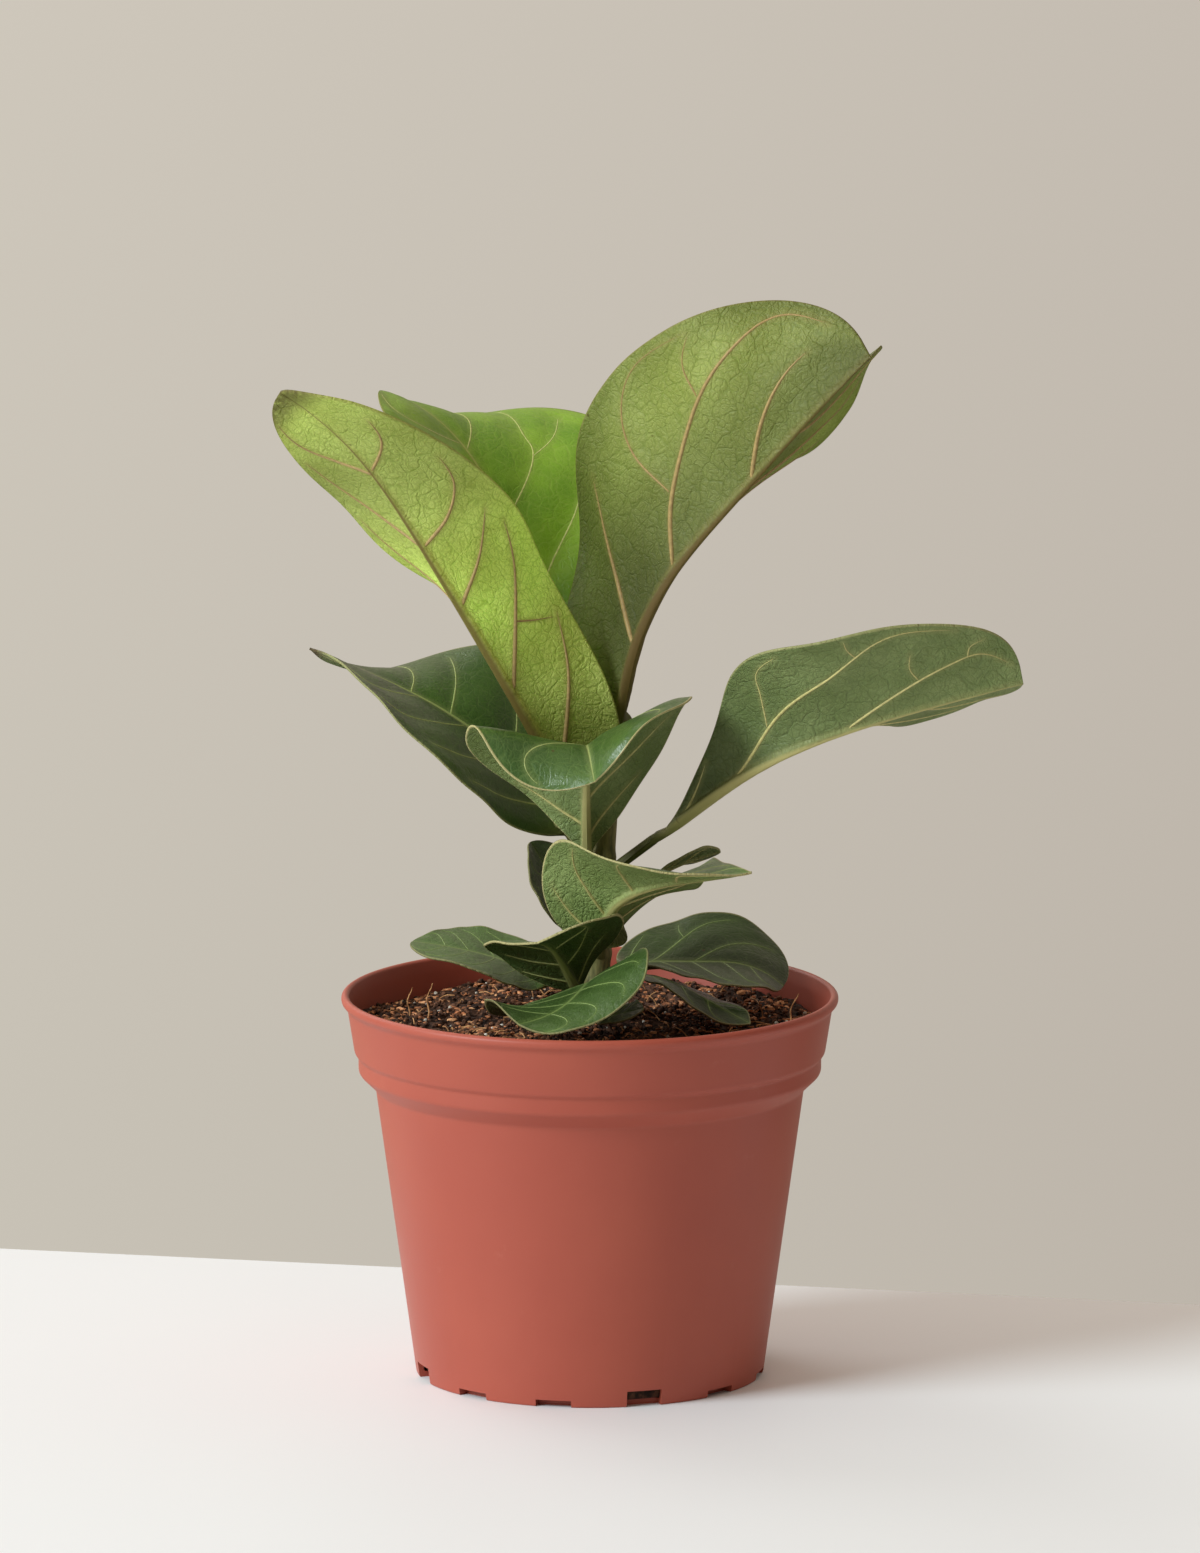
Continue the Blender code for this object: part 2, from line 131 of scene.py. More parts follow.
LEAVES = (
    Leaf("leaf_upper_right", "young_leaf", node=0.075, petiole=0.018, length=0.151, width=0.112,
         tone=(0.9, 0.5, 0.9, 1.0, 0.6), tone_out=(0.7, 0.9, 1.3, 1.0),
         azimuth=(-66, -43, -28, -25, -25), rise=(88, 69, 49, 47, 44), roll=(0, -66, -58, -64, -60),
         fold_left=(90, 112, 74, 68, 72), fold_right=(0, 35, 34, 20, 50), curl_right=(0, 10, 20),
         widest=0.54, taper=0.67, blunt=0.40, vein_radius=0.9,
         veins_right=(((0, 0.37), (0.26, 0.47), (0.50, 0.64), (0.68, 0.79), (0.83, 0.90), (0.72, 0.96)),
                      ((0.28, 0.48), (0.60, 0.47), (0.82, 0.51), (0.93, 0.60), (0.92, 0.74)),
                      ((0.55, 0.67), (0.75, 0.69), (0.90, 0.74)),
                      ((0, 0.63), (0.18, 0.73), (0.33, 0.83), (0.42, 0.90)),
                      ((0, 0.18), (0.38, 0.25), (0.62, 0.30), (0.82, 0.37)),
                      ((0, 0.04), (0.35, 0.06), (0.70, 0.10)))),
    Leaf("leaf_upper_left", "young_leaf", node=0.052, petiole=0.012, length=0.171, width=0.062,
         tone=(0.8, 2.3, 2.9, 1.5, 2.4),
         azimuth=(-127, -150, -162, -161, -172), rise=(66, 59, 59, 55, 31), roll=(17, 46, 74, 57, 47),
         fold_left=(30, 28, -7, -45), fold_right=(105, 104, 45, -10), curl_left=(0, 20, 30),
         widest=0.46, taper=0.38, blunt=0.38, vein_radius=0.75, scorch=0.8,
         veins_left=(((0, 0.10), (0.45, 0.21), (0.68, 0.28), (0.86, 0.37)),
                     ((0, 0.29), (0.40, 0.40), (0.68, 0.49), (0.82, 0.58)),
                     ((0.40, 0.40), (0.58, 0.38), (0.80, 0.36)),
                     ((0, 0.48), (0.40, 0.54), (0.75, 0.62)),
                     ((0, 0.61), (0.38, 0.64), (0.68, 0.69), (0.82, 0.75)),
                     ((0, 0.78), (0.48, 0.82), (0.75, 0.87)))),
    Leaf("leaf_upper_back", "young_leaf", node=0.082, petiole=0.012, length=0.127, width=0.099,
         tone=(1.1,),
         azimuth=(102, 141, 150, 155), rise=(59, 53, 58, 15), roll=(0, 12, 10, 50),
         fold_left=(31, 3, -36), fold_right=(84, 62, 40, 20), widest=0.63, taper=0.89, blunt=0.51,
         veins_right=(((0, 0.55), (0.40, 0.67), (0.53, 0.74), (0.88, 0.84)),
                      ((0.40, 0.67), (0.62, 0.69), (0.85, 0.73)),
                      ((0, 0.36), (0.40, 0.48), (0.60, 0.57), (0.88, 0.66)),
                      ((0, 0.18), (0.50, 0.30), (0.88, 0.44)),
                      ((0, 0.75), (0.40, 0.84), (0.70, 0.92)))),
    Leaf("leaf_middle_left", "grown_leaf", node=0.050, petiole=0.010, length=0.100, width=0.076,
         tone=(1.2,),
         azimuth=(140, 173, 167, 178), rise=(52, 45, 26, 21), roll=(-26, -17, -6, 24),
         fold_left=(-13, 7, -6), fold_right=(20, 20, -17), widest=0.52, taper=0.68, blunt=1.10, scorch=1.0,
         veins_left=(((0, 0.29), (0.55, 0.39), (0.85, 0.50)), 0.10, 0.46, 0.63),
         veins_right=(((0, 0.28), (0.47, 0.36), (0.86, 0.48)), ((0, 0.52), (0.38, 0.57), (0.80, 0.64)),
                      ((0, 0.66), (0.33, 0.69), (0.83, 0.76)), 0.08)),
    Leaf("leaf_middle_front", "grown_leaf", node=0.042, petiole=0.016, length=0.071, width=0.073,
         tone=(1.5,),
         azimuth=(-104, -98, -92, -90, -85, -79), rise=(5, 74, 70, 60, -7, -44), roll=(0, 5, 6, 4, -10, 14),
         fold_left=(24, 33, 43, 60), fold_right=(11, 24, 2, -18), curl_left=(0, 0, -20, -30),
         widest=0.60, taper=1.35, blunt=0.47, edge=0.9,
         veins_left=(((0, 0.12), (0.42, 0.22), (0.80, 0.36)), ((0, 0.33), (0.33, 0.41), (0.90, 0.55)), 0.58),
         veins_right=(((0, 0.20), (0.50, 0.26), (0.85, 0.36)),
                      ((0, 0.44), (0.50, 0.52), (0.88, 0.64)), 0.68)),
    Leaf("leaf_middle_right", "grown_leaf", node=0.050, petiole=0.014, length=0.136, width=0.073,
         tone=(0.7, 0.75, 1.15, 1.45, 1.5),
         azimuth=(-30, -38, -10, 9), rise=(37, 33, 19, 11), roll=(-20, -85, -59, -63),
         fold_left=(90, 96, 47, 44), fold_right=(22, 3, -3, 13), widest=0.62, taper=1.40, blunt=0.37,
         veins_right=(((0, 0.28), (0.30, 0.43), (0.55, 0.60), (0.88, 0.74), (0.93, 0.88)),
                      ((0.30, 0.43), (0.63, 0.46), (0.83, 0.48), (0.92, 0.54)),
                      ((0.73, 0.68), (0.84, 0.67), (0.95, 0.67)),
                      ((0, 0.59), (0.17, 0.69), (0.45, 0.84), (0.60, 0.92), (0.50, 0.98)),
                      ((0.55, 0.89), (0.70, 0.90), (0.83, 0.93)), ((0.35, 0.78), (0.50, 0.77), (0.67, 0.78)),
                      ((0, 0.10), (0.40, 0.15), (0.80, 0.24)))),
    Leaf("leaf_lower_front", "grown_leaf", node=0.022, petiole=0.004, length=0.073, width=0.057,
         tone=(1.9,),
         azimuth=(-80, -58, -33, -14), rise=(76, 33, 13, 9), roll=(-5, -50, -33, -2),
         fold_left=(60, 48, 16), fold_right=(12, -11, -3), widest=0.43, taper=0.50, blunt=1.00, edge=0.9,
         veins_right=(((0, 0.17), (0.37, 0.25), (0.62, 0.31), (0.90, 0.43)),
                      ((0, 0.42), (0.43, 0.50), (0.90, 0.61)),
                      ((0, 0.04), (0.50, 0.10), (0.85, 0.18)), 0.66)),
    Leaf("leaf_small_right", "grown_leaf", node=0.035, petiole=0.010, length=0.029, width=0.016,
         azimuth=(32, 18, 11), rise=(47, 24, 8), roll=(0, -20, -34), fold_left=(6,), fold_right=(2,),
         widest=0.65, stalk=0.0010, veins_left=FEW_VEINS, veins_right=FEW_VEINS, vein_radius=0.2),
    Leaf("leaf_small_back", "low_leaf", node=0.022, petiole=0.004, length=0.033, width=0.032,
         azimuth=(150, 154, 160), rise=(70, 63, 56), roll=(-5,), fold_left=(10,), widest=0.55,
         stalk=0.0012, veins_left=FEW_VEINS, veins_right=FEW_VEINS, vein_radius=0.3),
    Leaf("leaf_low_right", "low_leaf", node=0.013, petiole=0.008, length=RIM_RADIUS - 0.023, width=0.052,
         tone=(0.75,),
         azimuth=(60, 12, 0, -6), rise=(22, -1, -3, -44), roll=(-10,),
         fold_left=(22, 35, 27), fold_right=(0, -12, -14),
         widest=0.56, taper=0.56, blunt=0.42, vein_radius=0.4,
         veins_left=(((0, 0.19), (0.53, 0.40), (0.75, 0.52), (0.88, 0.66)),
                     ((0.53, 0.40), (0.70, 0.38), (0.88, 0.38)),
                     ((0, 0.44), (0.27, 0.59), (0.57, 0.77), (0.75, 0.86)),
                     ((0, 0.06), (0.50, 0.12), (0.90, 0.22)))),
    Leaf("leaf_low_left", "low_leaf", node=0.009, petiole=0.008, length=RIM_RADIUS - 0.030, width=0.041,
         tone=(1.5,),
         azimuth=(150, 187, 162), rise=(26, 18, 3), roll=(-30, -5, 5),
         fold_left=(-4,), fold_right=(11,), widest=0.55, taper=0.50, blunt=0.53, vein_radius=0.35),
    Leaf("leaf_low_front", "low_leaf", node=0.008, petiole=0.003, length=0.038, width=0.046,
         tone=(1.5,),
         azimuth=(-124, -115, -113), rise=(52, 43, 6), roll=(25, 15, 7),
         fold_left=(50, 24, 20), fold_right=(0, 13, 0), widest=0.61, taper=0.87, blunt=0.45, edge=0.9,
         vein_radius=0.35,
         veins_left=(((0, 0.10), (0.38, 0.20), (0.53, 0.38), (0.70, 0.52)),
                     ((0, 0.38), (0.27, 0.48), (0.47, 0.65), (0.70, 0.80)), 0.66),
         veins_right=(((0, 0.18), (0.60, 0.28), (0.90, 0.34)),
                      ((0, 0.41), (0.48, 0.45), (0.85, 0.52)), 0.64)),
    Leaf("leaf_rim_front", "low_leaf", node=0.011, petiole=0.006, length=RIM_RADIUS - 0.016, width=0.056,
         tone=(1.1,),
         azimuth=(-91, -108, -140), rise=(36, -9, -2), roll=(33, 25, -15),
         fold_left=(5,), fold_right=(7,), widest=0.56, taper=0.90, blunt=0.41, vein_radius=0.35),
    Leaf("leaf_lowest_front", "low_leaf", node=0.004, petiole=0.010, length=0.018, width=0.016,
         azimuth=(-88, -56, -15), rise=(4, 14, 18), roll=(18,), fold_left=(5,), fold_right=(5,),
         widest=0.55, stalk=0.0007, veins_left=FEW_VEINS, veins_right=FEW_VEINS, vein_radius=0.2),
    Leaf("leaf_low_drooping", "low_leaf", node=0.014, petiole=0.008, length=0.039, width=0.030,
         tone=(0.6,),
         azimuth=(-16, -19, -28), rise=(21, -22, -22), roll=(-4, -28, -5),
         fold_left=(13,), fold_right=(-20,), widest=0.51, taper=0.89, blunt=0.88, stalk=0.0010,
         veins_left=FEW_VEINS, veins_right=FEW_VEINS, vein_radius=0.25),
)

BLADE_THICKNESS = 0.7 * MM
TIP_HALF_WIDTH = 0.5 * MM
STALK_SHARE = 0.95
STALK_BLEND = 0.10
FOLD_BLEND = 0.03
RIB_STEPS = 240
PETIOLE_ROWS = 0.07
WIDE_LEAF = 60 * MM
SMALL_LEAF = 20 * MM
WAVY_WIDTH = 0.08
BLADE_GRIDS = {"wide": (104, 176), "middling": (72, 110), "small": (32, 52)}
VEIN_GRID = (10, 44)


def through(stations, share):
    """Smooth values at these shares of the way through equally spaced stations."""
    share = np.asarray(share, float)
    values = np.asarray(stations, float)
    if len(values) == 1:
        return np.full(share.shape, values[0])
    slopes = np.gradient(values)
    place = np.clip(share, 0, 1) * (len(values) - 1)
    i = np.minimum(place.astype(int), len(values) - 2)
    u = place - i
    return (
        (2 * u**3 - 3 * u**2 + 1) * values[i]
        + (u**3 - 2 * u**2 + u) * slopes[i]
        + (3 * u**2 - 2 * u**3) * values[i + 1]
        + (u**3 - u**2) * slopes[i + 1]
    )


def read_columns(table, knots, places):
    """Each column of a table, whose rows are at these knots, read at these places."""
    return np.stack([np.interp(places, knots, column) for column in table.T], -1)


def smooth_step(value, low, high):
    share = np.clip((value - low) / (high - low), 0, 1)
    return share * share * (3 - 2 * share)


def stem_at(node):
    """(centre, radius) of the stem at this height above the mix."""
    heights, leans, radii = zip(*STEM_ROUTE)
    lean = float(np.interp(node, heights, leans))
    return np.array((lean, 0, MIX_LEVEL + node)), float(np.interp(node, heights, radii))


class Rib:
    """The line of a leaf's petiole and midrib, with the axes across it."""

    def __init__(self, leaf):
        self.shares = np.linspace(0, 1, RIB_STEPS + 1)
        azimuth = np.radians(through(leaf.azimuth, self.shares))
        rise = np.radians(through(leaf.rise, self.shares))
        roll = np.radians(through(leaf.roll, self.shares))[:, None]
        ahead = np.stack([np.cos(rise) * np.cos(azimuth), np.cos(rise) * np.sin(azimuth), np.sin(rise)], 1)
        level = np.stack([-np.sin(azimuth), np.cos(azimuth), 0 * azimuth], 1)
        upright = np.cross(ahead, level)
        self.left = level * np.cos(roll) + upright * np.sin(roll)
        self.up = upright * np.cos(roll) - level * np.sin(roll)
        centre, radius = stem_at(leaf.node)
        outward = np.array((cos(azimuth[0]), sin(azimuth[0]), 0))
        foot = centre + outward * (radius + leaf.stalk + CLEARANCE)
        step = (leaf.petiole + leaf.length) / RIB_STEPS
        moves = (ahead[1:] + ahead[:-1]) / 2 * step
        self.points = np.vstack([foot, foot + np.cumsum(moves, 0)])

    def at(self, table, share):
        return read_columns(table, self.shares, share)


def half_width(leaf, blade):
    """Half the blade's width at this share of its length."""
    place = np.clip(blade, 0, 1) ** (np.log(0.5) / np.log(leaf.widest))
    power = leaf.taper + (leaf.blunt - leaf.taper) * blade
    return leaf.width / 2 * np.clip(np.sin(pi * place), 0, 1) ** power


def vein_lines(leaf):
    """Each side vein as (across, along, first radius in mm), across running from -1 to 1."""
    lines = []
    share = np.linspace(0, 1, 28)
    for side, veins in ((1, leaf.veins_left), (-1, leaf.veins_right)):
        for vein in veins:
            if isinstance(vein, float):
                reach = min(1.0, (0.97 - vein) * 4)
                vein = [(outward, vein + gained * reach) for outward, gained in PLAIN_VEIN]
            outward, along = zip(*vein)
            branch = outward[0] > 0
            radius = leaf.vein_radius * (0.45 if branch else 1.0) * (1.15 - 0.5 * along[0])
            lines.append((side * through(outward, share), through(along, share), radius))
    return lines


def flat_place(leaf, across, blade):
    """Millimetres on the blade laid flat: out from the midrib, then along it."""
    return np.stack([across * half_width(leaf, blade), blade * leaf.length], -1) / MM


def distance_to(lines, points):
    """Millimetres from each flat point to the nearest line's edge."""
    nearest = np.full(len(points), 9.0)
    for line, radius in lines:
        for start, end in zip(line, line[1:]):
            run = end - start
            away = points - start
            share = np.clip(away @ run / (run @ run + 1e-9), 0, 1)
            away -= share[:, None] * run
            nearest = np.minimum(nearest, np.hypot(away[:, 0], away[:, 1]) - radius * 0.6)
    return nearest


class Sheet:
    """The upper face of a leaf at points given as (across, share of petiole and blade)."""

    def __init__(self, leaf, rib, across, share):
        centre, left, up = (rib.at(table, share) for table in (rib.points, rib.left, rib.up))
        blade = np.clip((share * (leaf.petiole + leaf.length) - leaf.petiole) / leaf.length, 0, 1)
        opened = smooth_step(blade, 0, STALK_BLEND)
        half = np.maximum(half_width(leaf, blade), leaf.stalk * STALK_SHARE * (1 - opened))
        half = np.maximum(half, TIP_HALF_WIDTH)
        on_left = across >= 0
        side = np.where(on_left, 1.0, -1.0)
        reach = np.abs(across)
        folded = smooth_step(blade, 0, FOLD_BLEND)
        fold_left = np.radians(through(leaf.fold_left, blade)) * folded
        fold_right = np.radians(through(leaf.fold_right, blade)) * folded
        bend = np.where(on_left, fold_left, fold_right)
        bow = np.radians(np.where(on_left, through(leaf.curl_left, blade), through(leaf.curl_right, blade)))
        bow = np.where(np.abs(bow) < 0.0001, 0.0001, bow)
        facing = bend + bow * reach
        over = (np.sin(facing) - np.sin(bend)) / bow * half * side
        lift = (np.cos(bend) - np.cos(facing)) / bow * half
        middle_left = np.sin(fold_right) - np.sin(fold_left)
        middle_up = np.cos(fold_right) + np.cos(fold_left)
        size = np.hypot(middle_left, middle_up) + 1e-9
        out = smooth_step(reach * half, 0, 1.2 * MM)
        normal_left = -np.sin(facing) * side * out + middle_left / size * (1 - out)
        normal_up = np.cos(facing) * out + middle_up / size * (1 - out)
        scale = np.hypot(normal_left, normal_up) + 1e-9
        self.normal = left * (normal_left / scale)[:, None] + up * (normal_up / scale)[:, None]
        self.point = centre + left * over[:, None] + up * lift[:, None]
        self.blade, self.opened, self.half, self.reach = blade, opened, half, reach
        self.margin = (1 - reach) * half / MM
        phase = sum(map(ord, leaf.name)) % 17
        ends = smooth_step(blade, 0.03, 0.2) * (1 - smooth_step(blade, 0.90, 1.0))
        wave = np.sin(2 * pi * (2.2 * blade + 0.31 * side) + phase)
        wave += 0.35 * np.sin(2 * pi * 4.6 * blade + 2 * phase)
        sway = np.sin(7 * blade + 2.5 * across + phase) * np.sin(pi * reach)
        swell = (0.9 * reach**3 * wave + 0.5 * sway) * leaf.width / WAVY_WIDTH * ends * MM
        self.point += self.normal * swell[:, None]


def shape_blade(leaf, rib, across, share, under):
    """Places and distances for points on the upper face (under 0) and the lower face (under 1)."""
    sheet = Sheet(leaf, rib, across, share)
    lines = [(flat_place(leaf, v, t), radius) for v, t, radius in vein_lines(leaf)]
    flat = np.stack([across * sheet.half, sheet.blade * leaf.length], -1) / MM
    vein = distance_to(lines, flat)
    midrib_radius = leaf.stalk / MM * (0.52 * (1 - sheet.blade) ** 0.8 + 0.15)
    midrib = sheet.reach * sheet.half / MM - midrib_radius
    beside = np.maximum(np.minimum(vein, midrib), 0)
    ends = smooth_step(sheet.blade, 0.02, 0.12) * (1 - smooth_step(sheet.blade, 0.94, 1.0))
    puff = 0.85 * MM * leaf.width / 0.10 * (1 - np.exp(-((beside / 4.5) ** 2)))
    puff = puff * smooth_step(sheet.margin, 0, 5) * ends * sheet.opened
    round_half = leaf.stalk * np.sqrt(1 - (STALK_SHARE * across) ** 2) * (1 - sheet.opened)
    ridge = 1.15 * leaf.stalk * (1 - sheet.blade) ** 0.8 + 0.15 * MM
    ridge = ridge * sheet.opened * np.exp(-((np.maximum(midrib + 0.3, 0) / 0.45) ** 2))
    ridge = ridge * (1 - smooth_step(sheet.blade, 0.90, 1.0))
    depth = round_half + BLADE_THICKNESS * sheet.opened * smooth_step(sheet.margin, -0.6, 0.5) + ridge
    offset = np.where(under > 0.5, -depth, round_half) + puff
    places = sheet.point + sheet.normal * offset[:, None]
    near_tip = smooth_step(sheet.blade, 0.93, 0.99)
    distances = {
        "vein": vein,
        "midrib": midrib,
        "margin": sheet.margin,
        "stalk": 1 - sheet.opened,
        "scorch": leaf.scorch * near_tip,
        "edge": np.full(len(vein), leaf.edge),
        # painted light and shade, read by the blade finish
        "tone": through(leaf.tone, sheet.blade) * through(leaf.tone_out, sheet.reach),
    }
    shift = sum(map(ord, leaf.name)) * 7.0
    return places, distances, np.column_stack([flat[:, 0] + shift, flat[:, 1], 0 * vein])


def tabulate(mesh, name, kind, values):
    field = "vector" if kind == "FLOAT_VECTOR" else "value"
    mesh.attributes.new(name, kind, "POINT").data.foreach_set(field, np.ascontiguousarray(values).ravel())


def places_of(mesh):
    flat = np.empty(len(mesh.vertices) * 3)
    mesh.vertices.foreach_get("co", flat)
    return flat.reshape(-1, 3)


def to_mesh(bm, name):
    """The mesh of a bmesh that is done with."""
    mesh = bpy.data.meshes.new(name)
    bm.to_mesh(mesh)
    bm.free()
    return mesh


def face_means(mesh, values):
    """The mean over each four-sided face of a value that is given per point."""
    corners = np.empty(len(mesh.polygons) * 4, int)
    mesh.polygons.foreach_get("vertices", corners)
    return values[corners.reshape(-1, 4)].mean(1)


def face_outwards(mesh, merge=0.0):
    """Turns the faces outwards, once points nearer than this are merged."""
    bm = bmesh.new()
    bm.from_mesh(mesh)
    if merge:
        bmesh.ops.remove_doubles(bm, verts=bm.verts, dist=merge)
    bmesh.ops.recalc_face_normals(bm, faces=bm.faces)
    bm.to_mesh(mesh)
    bm.free()


def make_blade(leaf, rib):
    """Blade, petiole and midrib in one: a slab of quads, closer at the margins, bent to the leaf's shape."""
    size = "wide" if leaf.width >= WIDE_LEAF else "small" if leaf.width < SMALL_LEAF else "middling"
    columns, rows = BLADE_GRIDS[size]
    bm = bmesh.new()
    bmesh.ops.create_grid(bm, x_segments=columns, y_segments=rows, size=1)
    bmesh.ops.solidify(bm, geom=bm.faces[:], thickness=1)
    mesh = to_mesh(bm, leaf.name + "_blade")
    grid = places_of(mesh)
    across = grid[:, 0] - 0.10 * np.sin(2 * pi * grid[:, 0])
    under = np.where(np.abs(grid[:, 2]) > 0.5, 1.0, 0.0)
    petiole_share = leaf.petiole / (leaf.petiole + leaf.length)
    along = (grid[:, 1] + 1) / 2
    blade = np.clip((along - PETIOLE_ROWS) / (1 - PETIOLE_ROWS), 0, 1)
    blade = blade - 0.11 * np.sin(2 * pi * blade)
    on_petiole = along / PETIOLE_ROWS * petiole_share
    on_blade = petiole_share + (1 - petiole_share) * blade
    share = np.where(along < PETIOLE_ROWS, on_petiole, on_blade)
    places, distances, spread = shape_blade(leaf, rib, across, share, under)
    mesh.vertices.foreach_set("co", places.ravel())
    for name, values in distances.items():
        tabulate(mesh, name, "FLOAT", values)
    tabulate(mesh, "blade", "FLOAT_VECTOR", spread)
    mesh.polygons.foreach_set("material_index", (face_means(mesh, under) > 0.3).astype(int))
    face_outwards(mesh)
    return mesh


def make_veins(leaf, rib):
    """The side veins: closed tubes let into the blade, proud below and nearly flush above."""
    lines = vein_lines(leaf)
    bm = bmesh.new()
    for index in range(len(lines)):
        lift = Matrix.Translation((0, 0, index))
        bmesh.ops.create_grid(bm, x_segments=VEIN_GRID[0], y_segments=VEIN_GRID[1], size=1, matrix=lift)
    mesh = to_mesh(bm, leaf.name + "_veins")
    grid = places_of(mesh)
    turn_round = grid[:, 0] * pi
    along = (grid[:, 1] + 1) / 2
    index = np.rint(grid[:, 2]).astype(int)
    flat = np.empty((len(grid), 2))
    sideways = np.empty((len(grid), 2))
    radius = np.empty(len(grid))
    for number, (across, blade, thick) in enumerate(lines):
        line = flat_place(leaf, across, blade)
        runs = np.gradient(line, axis=0)
        runs /= np.hypot(runs[:, 0], runs[:, 1])[:, None] + 1e-9
        square = np.column_stack([-runs[:, 1], runs[:, 0]])
        mine = index == number
        place = along[mine] * (len(line) - 1)
        steps = np.arange(len(line))
        flat[mine] = read_columns(line, steps, place)
        sideways[mine] = read_columns(square, steps, place)
        radius[mine] = thick * (1 - along[mine]) ** 0.75 + 0.10
    radius *= np.sqrt(np.clip(1 - (2 * along - 1) ** 10, 0, 1))
    flat += sideways * (np.cos(turn_round) * radius)[:, None]
    blade = flat[:, 1] * MM / leaf.length
    across = np.clip(flat[:, 0] * MM / np.maximum(half_width(leaf, blade), TIP_HALF_WIDTH), -0.995, 0.995)
    share = (leaf.petiole + blade * leaf.length) / (leaf.petiole + leaf.length)
    sheet = Sheet(leaf, rib, across, share)
    above = np.sin(turn_round) > 0
    deep = np.where(above, BLADE_THICKNESS / 2 + 0.10 * MM, BLADE_THICKNESS / 2 + 0.75 * radius * MM)
    deep *= smooth_step(radius, 0, 0.1)
    height = np.sin(turn_round) * deep - BLADE_THICKNESS / 2
    mesh.vertices.foreach_set("co", (sheet.point + sheet.normal * height[:, None]).ravel())
    tabulate(mesh, "blade", "FLOAT_VECTOR", np.column_stack([flat, 0 * radius]))
    mesh.polygons.foreach_set("material_index", (face_means(mesh, np.sin(turn_round)) < 0).astype(int))
    face_outwards(mesh, merge=0.002 * MM)
    return mesh


def make_leaf(leaf):
    rib = Rib(leaf)
    for part, mesh in (("blade", make_blade(leaf, rib)), ("veins", make_veins(leaf, rib))):
        mesh.shade_smooth()
        piece = add_piece(f"{leaf.name}_{part}", mesh)
        for side in ("upper", "under"):
            piece.data.materials.append(FINISHES[leaf.slot, part, side])
        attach(piece, "root")
        if part == "blade":
            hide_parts(leaf.name)


def add_piece(name, mesh):
    mesh.name = name
    piece = bpy.data.objects.new(name, mesh)
    bpy.context.scene.collection.objects.link(piece)
    return piece


# Finishes ---------------------------------------------------------------------------


class Nodes:
    """The shader nodes of a material or of the world. Its calls add nodes and give back their outputs."""

    def __init__(self, owner):
        owner.use_nodes = True
        self.tree = owner.node_tree
        self.tree.nodes.clear()

    def add(self, kind, **settings):
        node = self.tree.nodes.new(kind)
        for key, value in settings.items():
            setattr(node, key, value)
        return node

    def put(self, socket, value):
        if isinstance(value, bpy.types.NodeSocket):
            self.tree.links.new(value, socket)
        elif isinstance(value, tuple) and len(value) == 3 and socket.type == "RGBA":
            socket.default_value = (*value, 1)
        else:
            socket.default_value = value

    def read(self, name):
        return self.add("ShaderNodeAttribute", attribute_name=name).outputs["Fac"]

    def read_vector(self, name):
        return self.add("ShaderNodeAttribute", attribute_name=name).outputs["Vector"]

    def place(self):
        return self.add("ShaderNodeTexCoord").outputs["Object"]

    def math(self, operation, a, b):
        node = self.add("ShaderNodeMath", operation=operation)
        self.put(node.inputs[0], a)
        self.put(node.inputs[1], b)
        return node.outputs[0]

    def step(self, value, low, high, start=0.0, end=1.0):
        node = self.add("ShaderNodeMapRange", interpolation_type="SMOOTHSTEP")
        self.put(node.inputs["Value"], value)
        self.put(node.inputs["From Min"], low)
        self.put(node.inputs["From Max"], high)
        self.put(node.inputs["To Min"], start)
        self.put(node.inputs["To Max"], end)
        return node.outputs["Result"]

    def share(self, value, low, high):
        node = self.add("ShaderNodeMapRange")
        self.put(node.inputs["Value"], value)
        self.put(node.inputs["From Min"], low)
        self.put(node.inputs["From Max"], high)
        return node.outputs["Result"]

    def mix(self, factor, a, b):
        node = self.add("ShaderNodeMix", data_type="RGBA")
        self.put(node.inputs[0], factor)
        self.put(node.inputs[6], a)
        self.put(node.inputs[7], b)
        return node.outputs[2]

    def noise(self, vector, scale, detail=2.0, roughness=0.5):
        node = self.add("ShaderNodeTexNoise")
        self.put(node.inputs["Vector"], vector)
        self.put(node.inputs["Scale"], scale)
        self.put(node.inputs["Detail"], detail)
        self.put(node.inputs["Roughness"], roughness)
        return node.outputs["Fac"]

    def cells(self, vector, scale, feature="DISTANCE_TO_EDGE"):
        node = self.add("ShaderNodeTexVoronoi", feature=feature)
        self.put(node.inputs["Vector"], vector)
        self.put(node.inputs["Scale"], scale)
        return node.outputs["Distance"]

    def bump(self, height, distance, strength=1.0):
        node = self.add("ShaderNodeBump")
        self.put(node.inputs["Height"], height)
        self.put(node.inputs["Distance"], distance)
        self.put(node.inputs["Strength"], strength)
        return node.outputs["Normal"]

    def principled(self, **inputs):
        node = self.add("ShaderNodeBsdfPrincipled")
        for key, value in inputs.items():
            self.put(node.inputs[key.replace("_", " ")], value)
        return node.outputs["BSDF"]


class Finish(Nodes):
    """A material being made."""

    def __init__(self, name):
        self.material = bpy.data.materials.new(name)
        super().__init__(self.material)

    def finish(self, surface):
        self.put(self.add("ShaderNodeOutputMaterial").inputs["Surface"], surface)
        return self.material


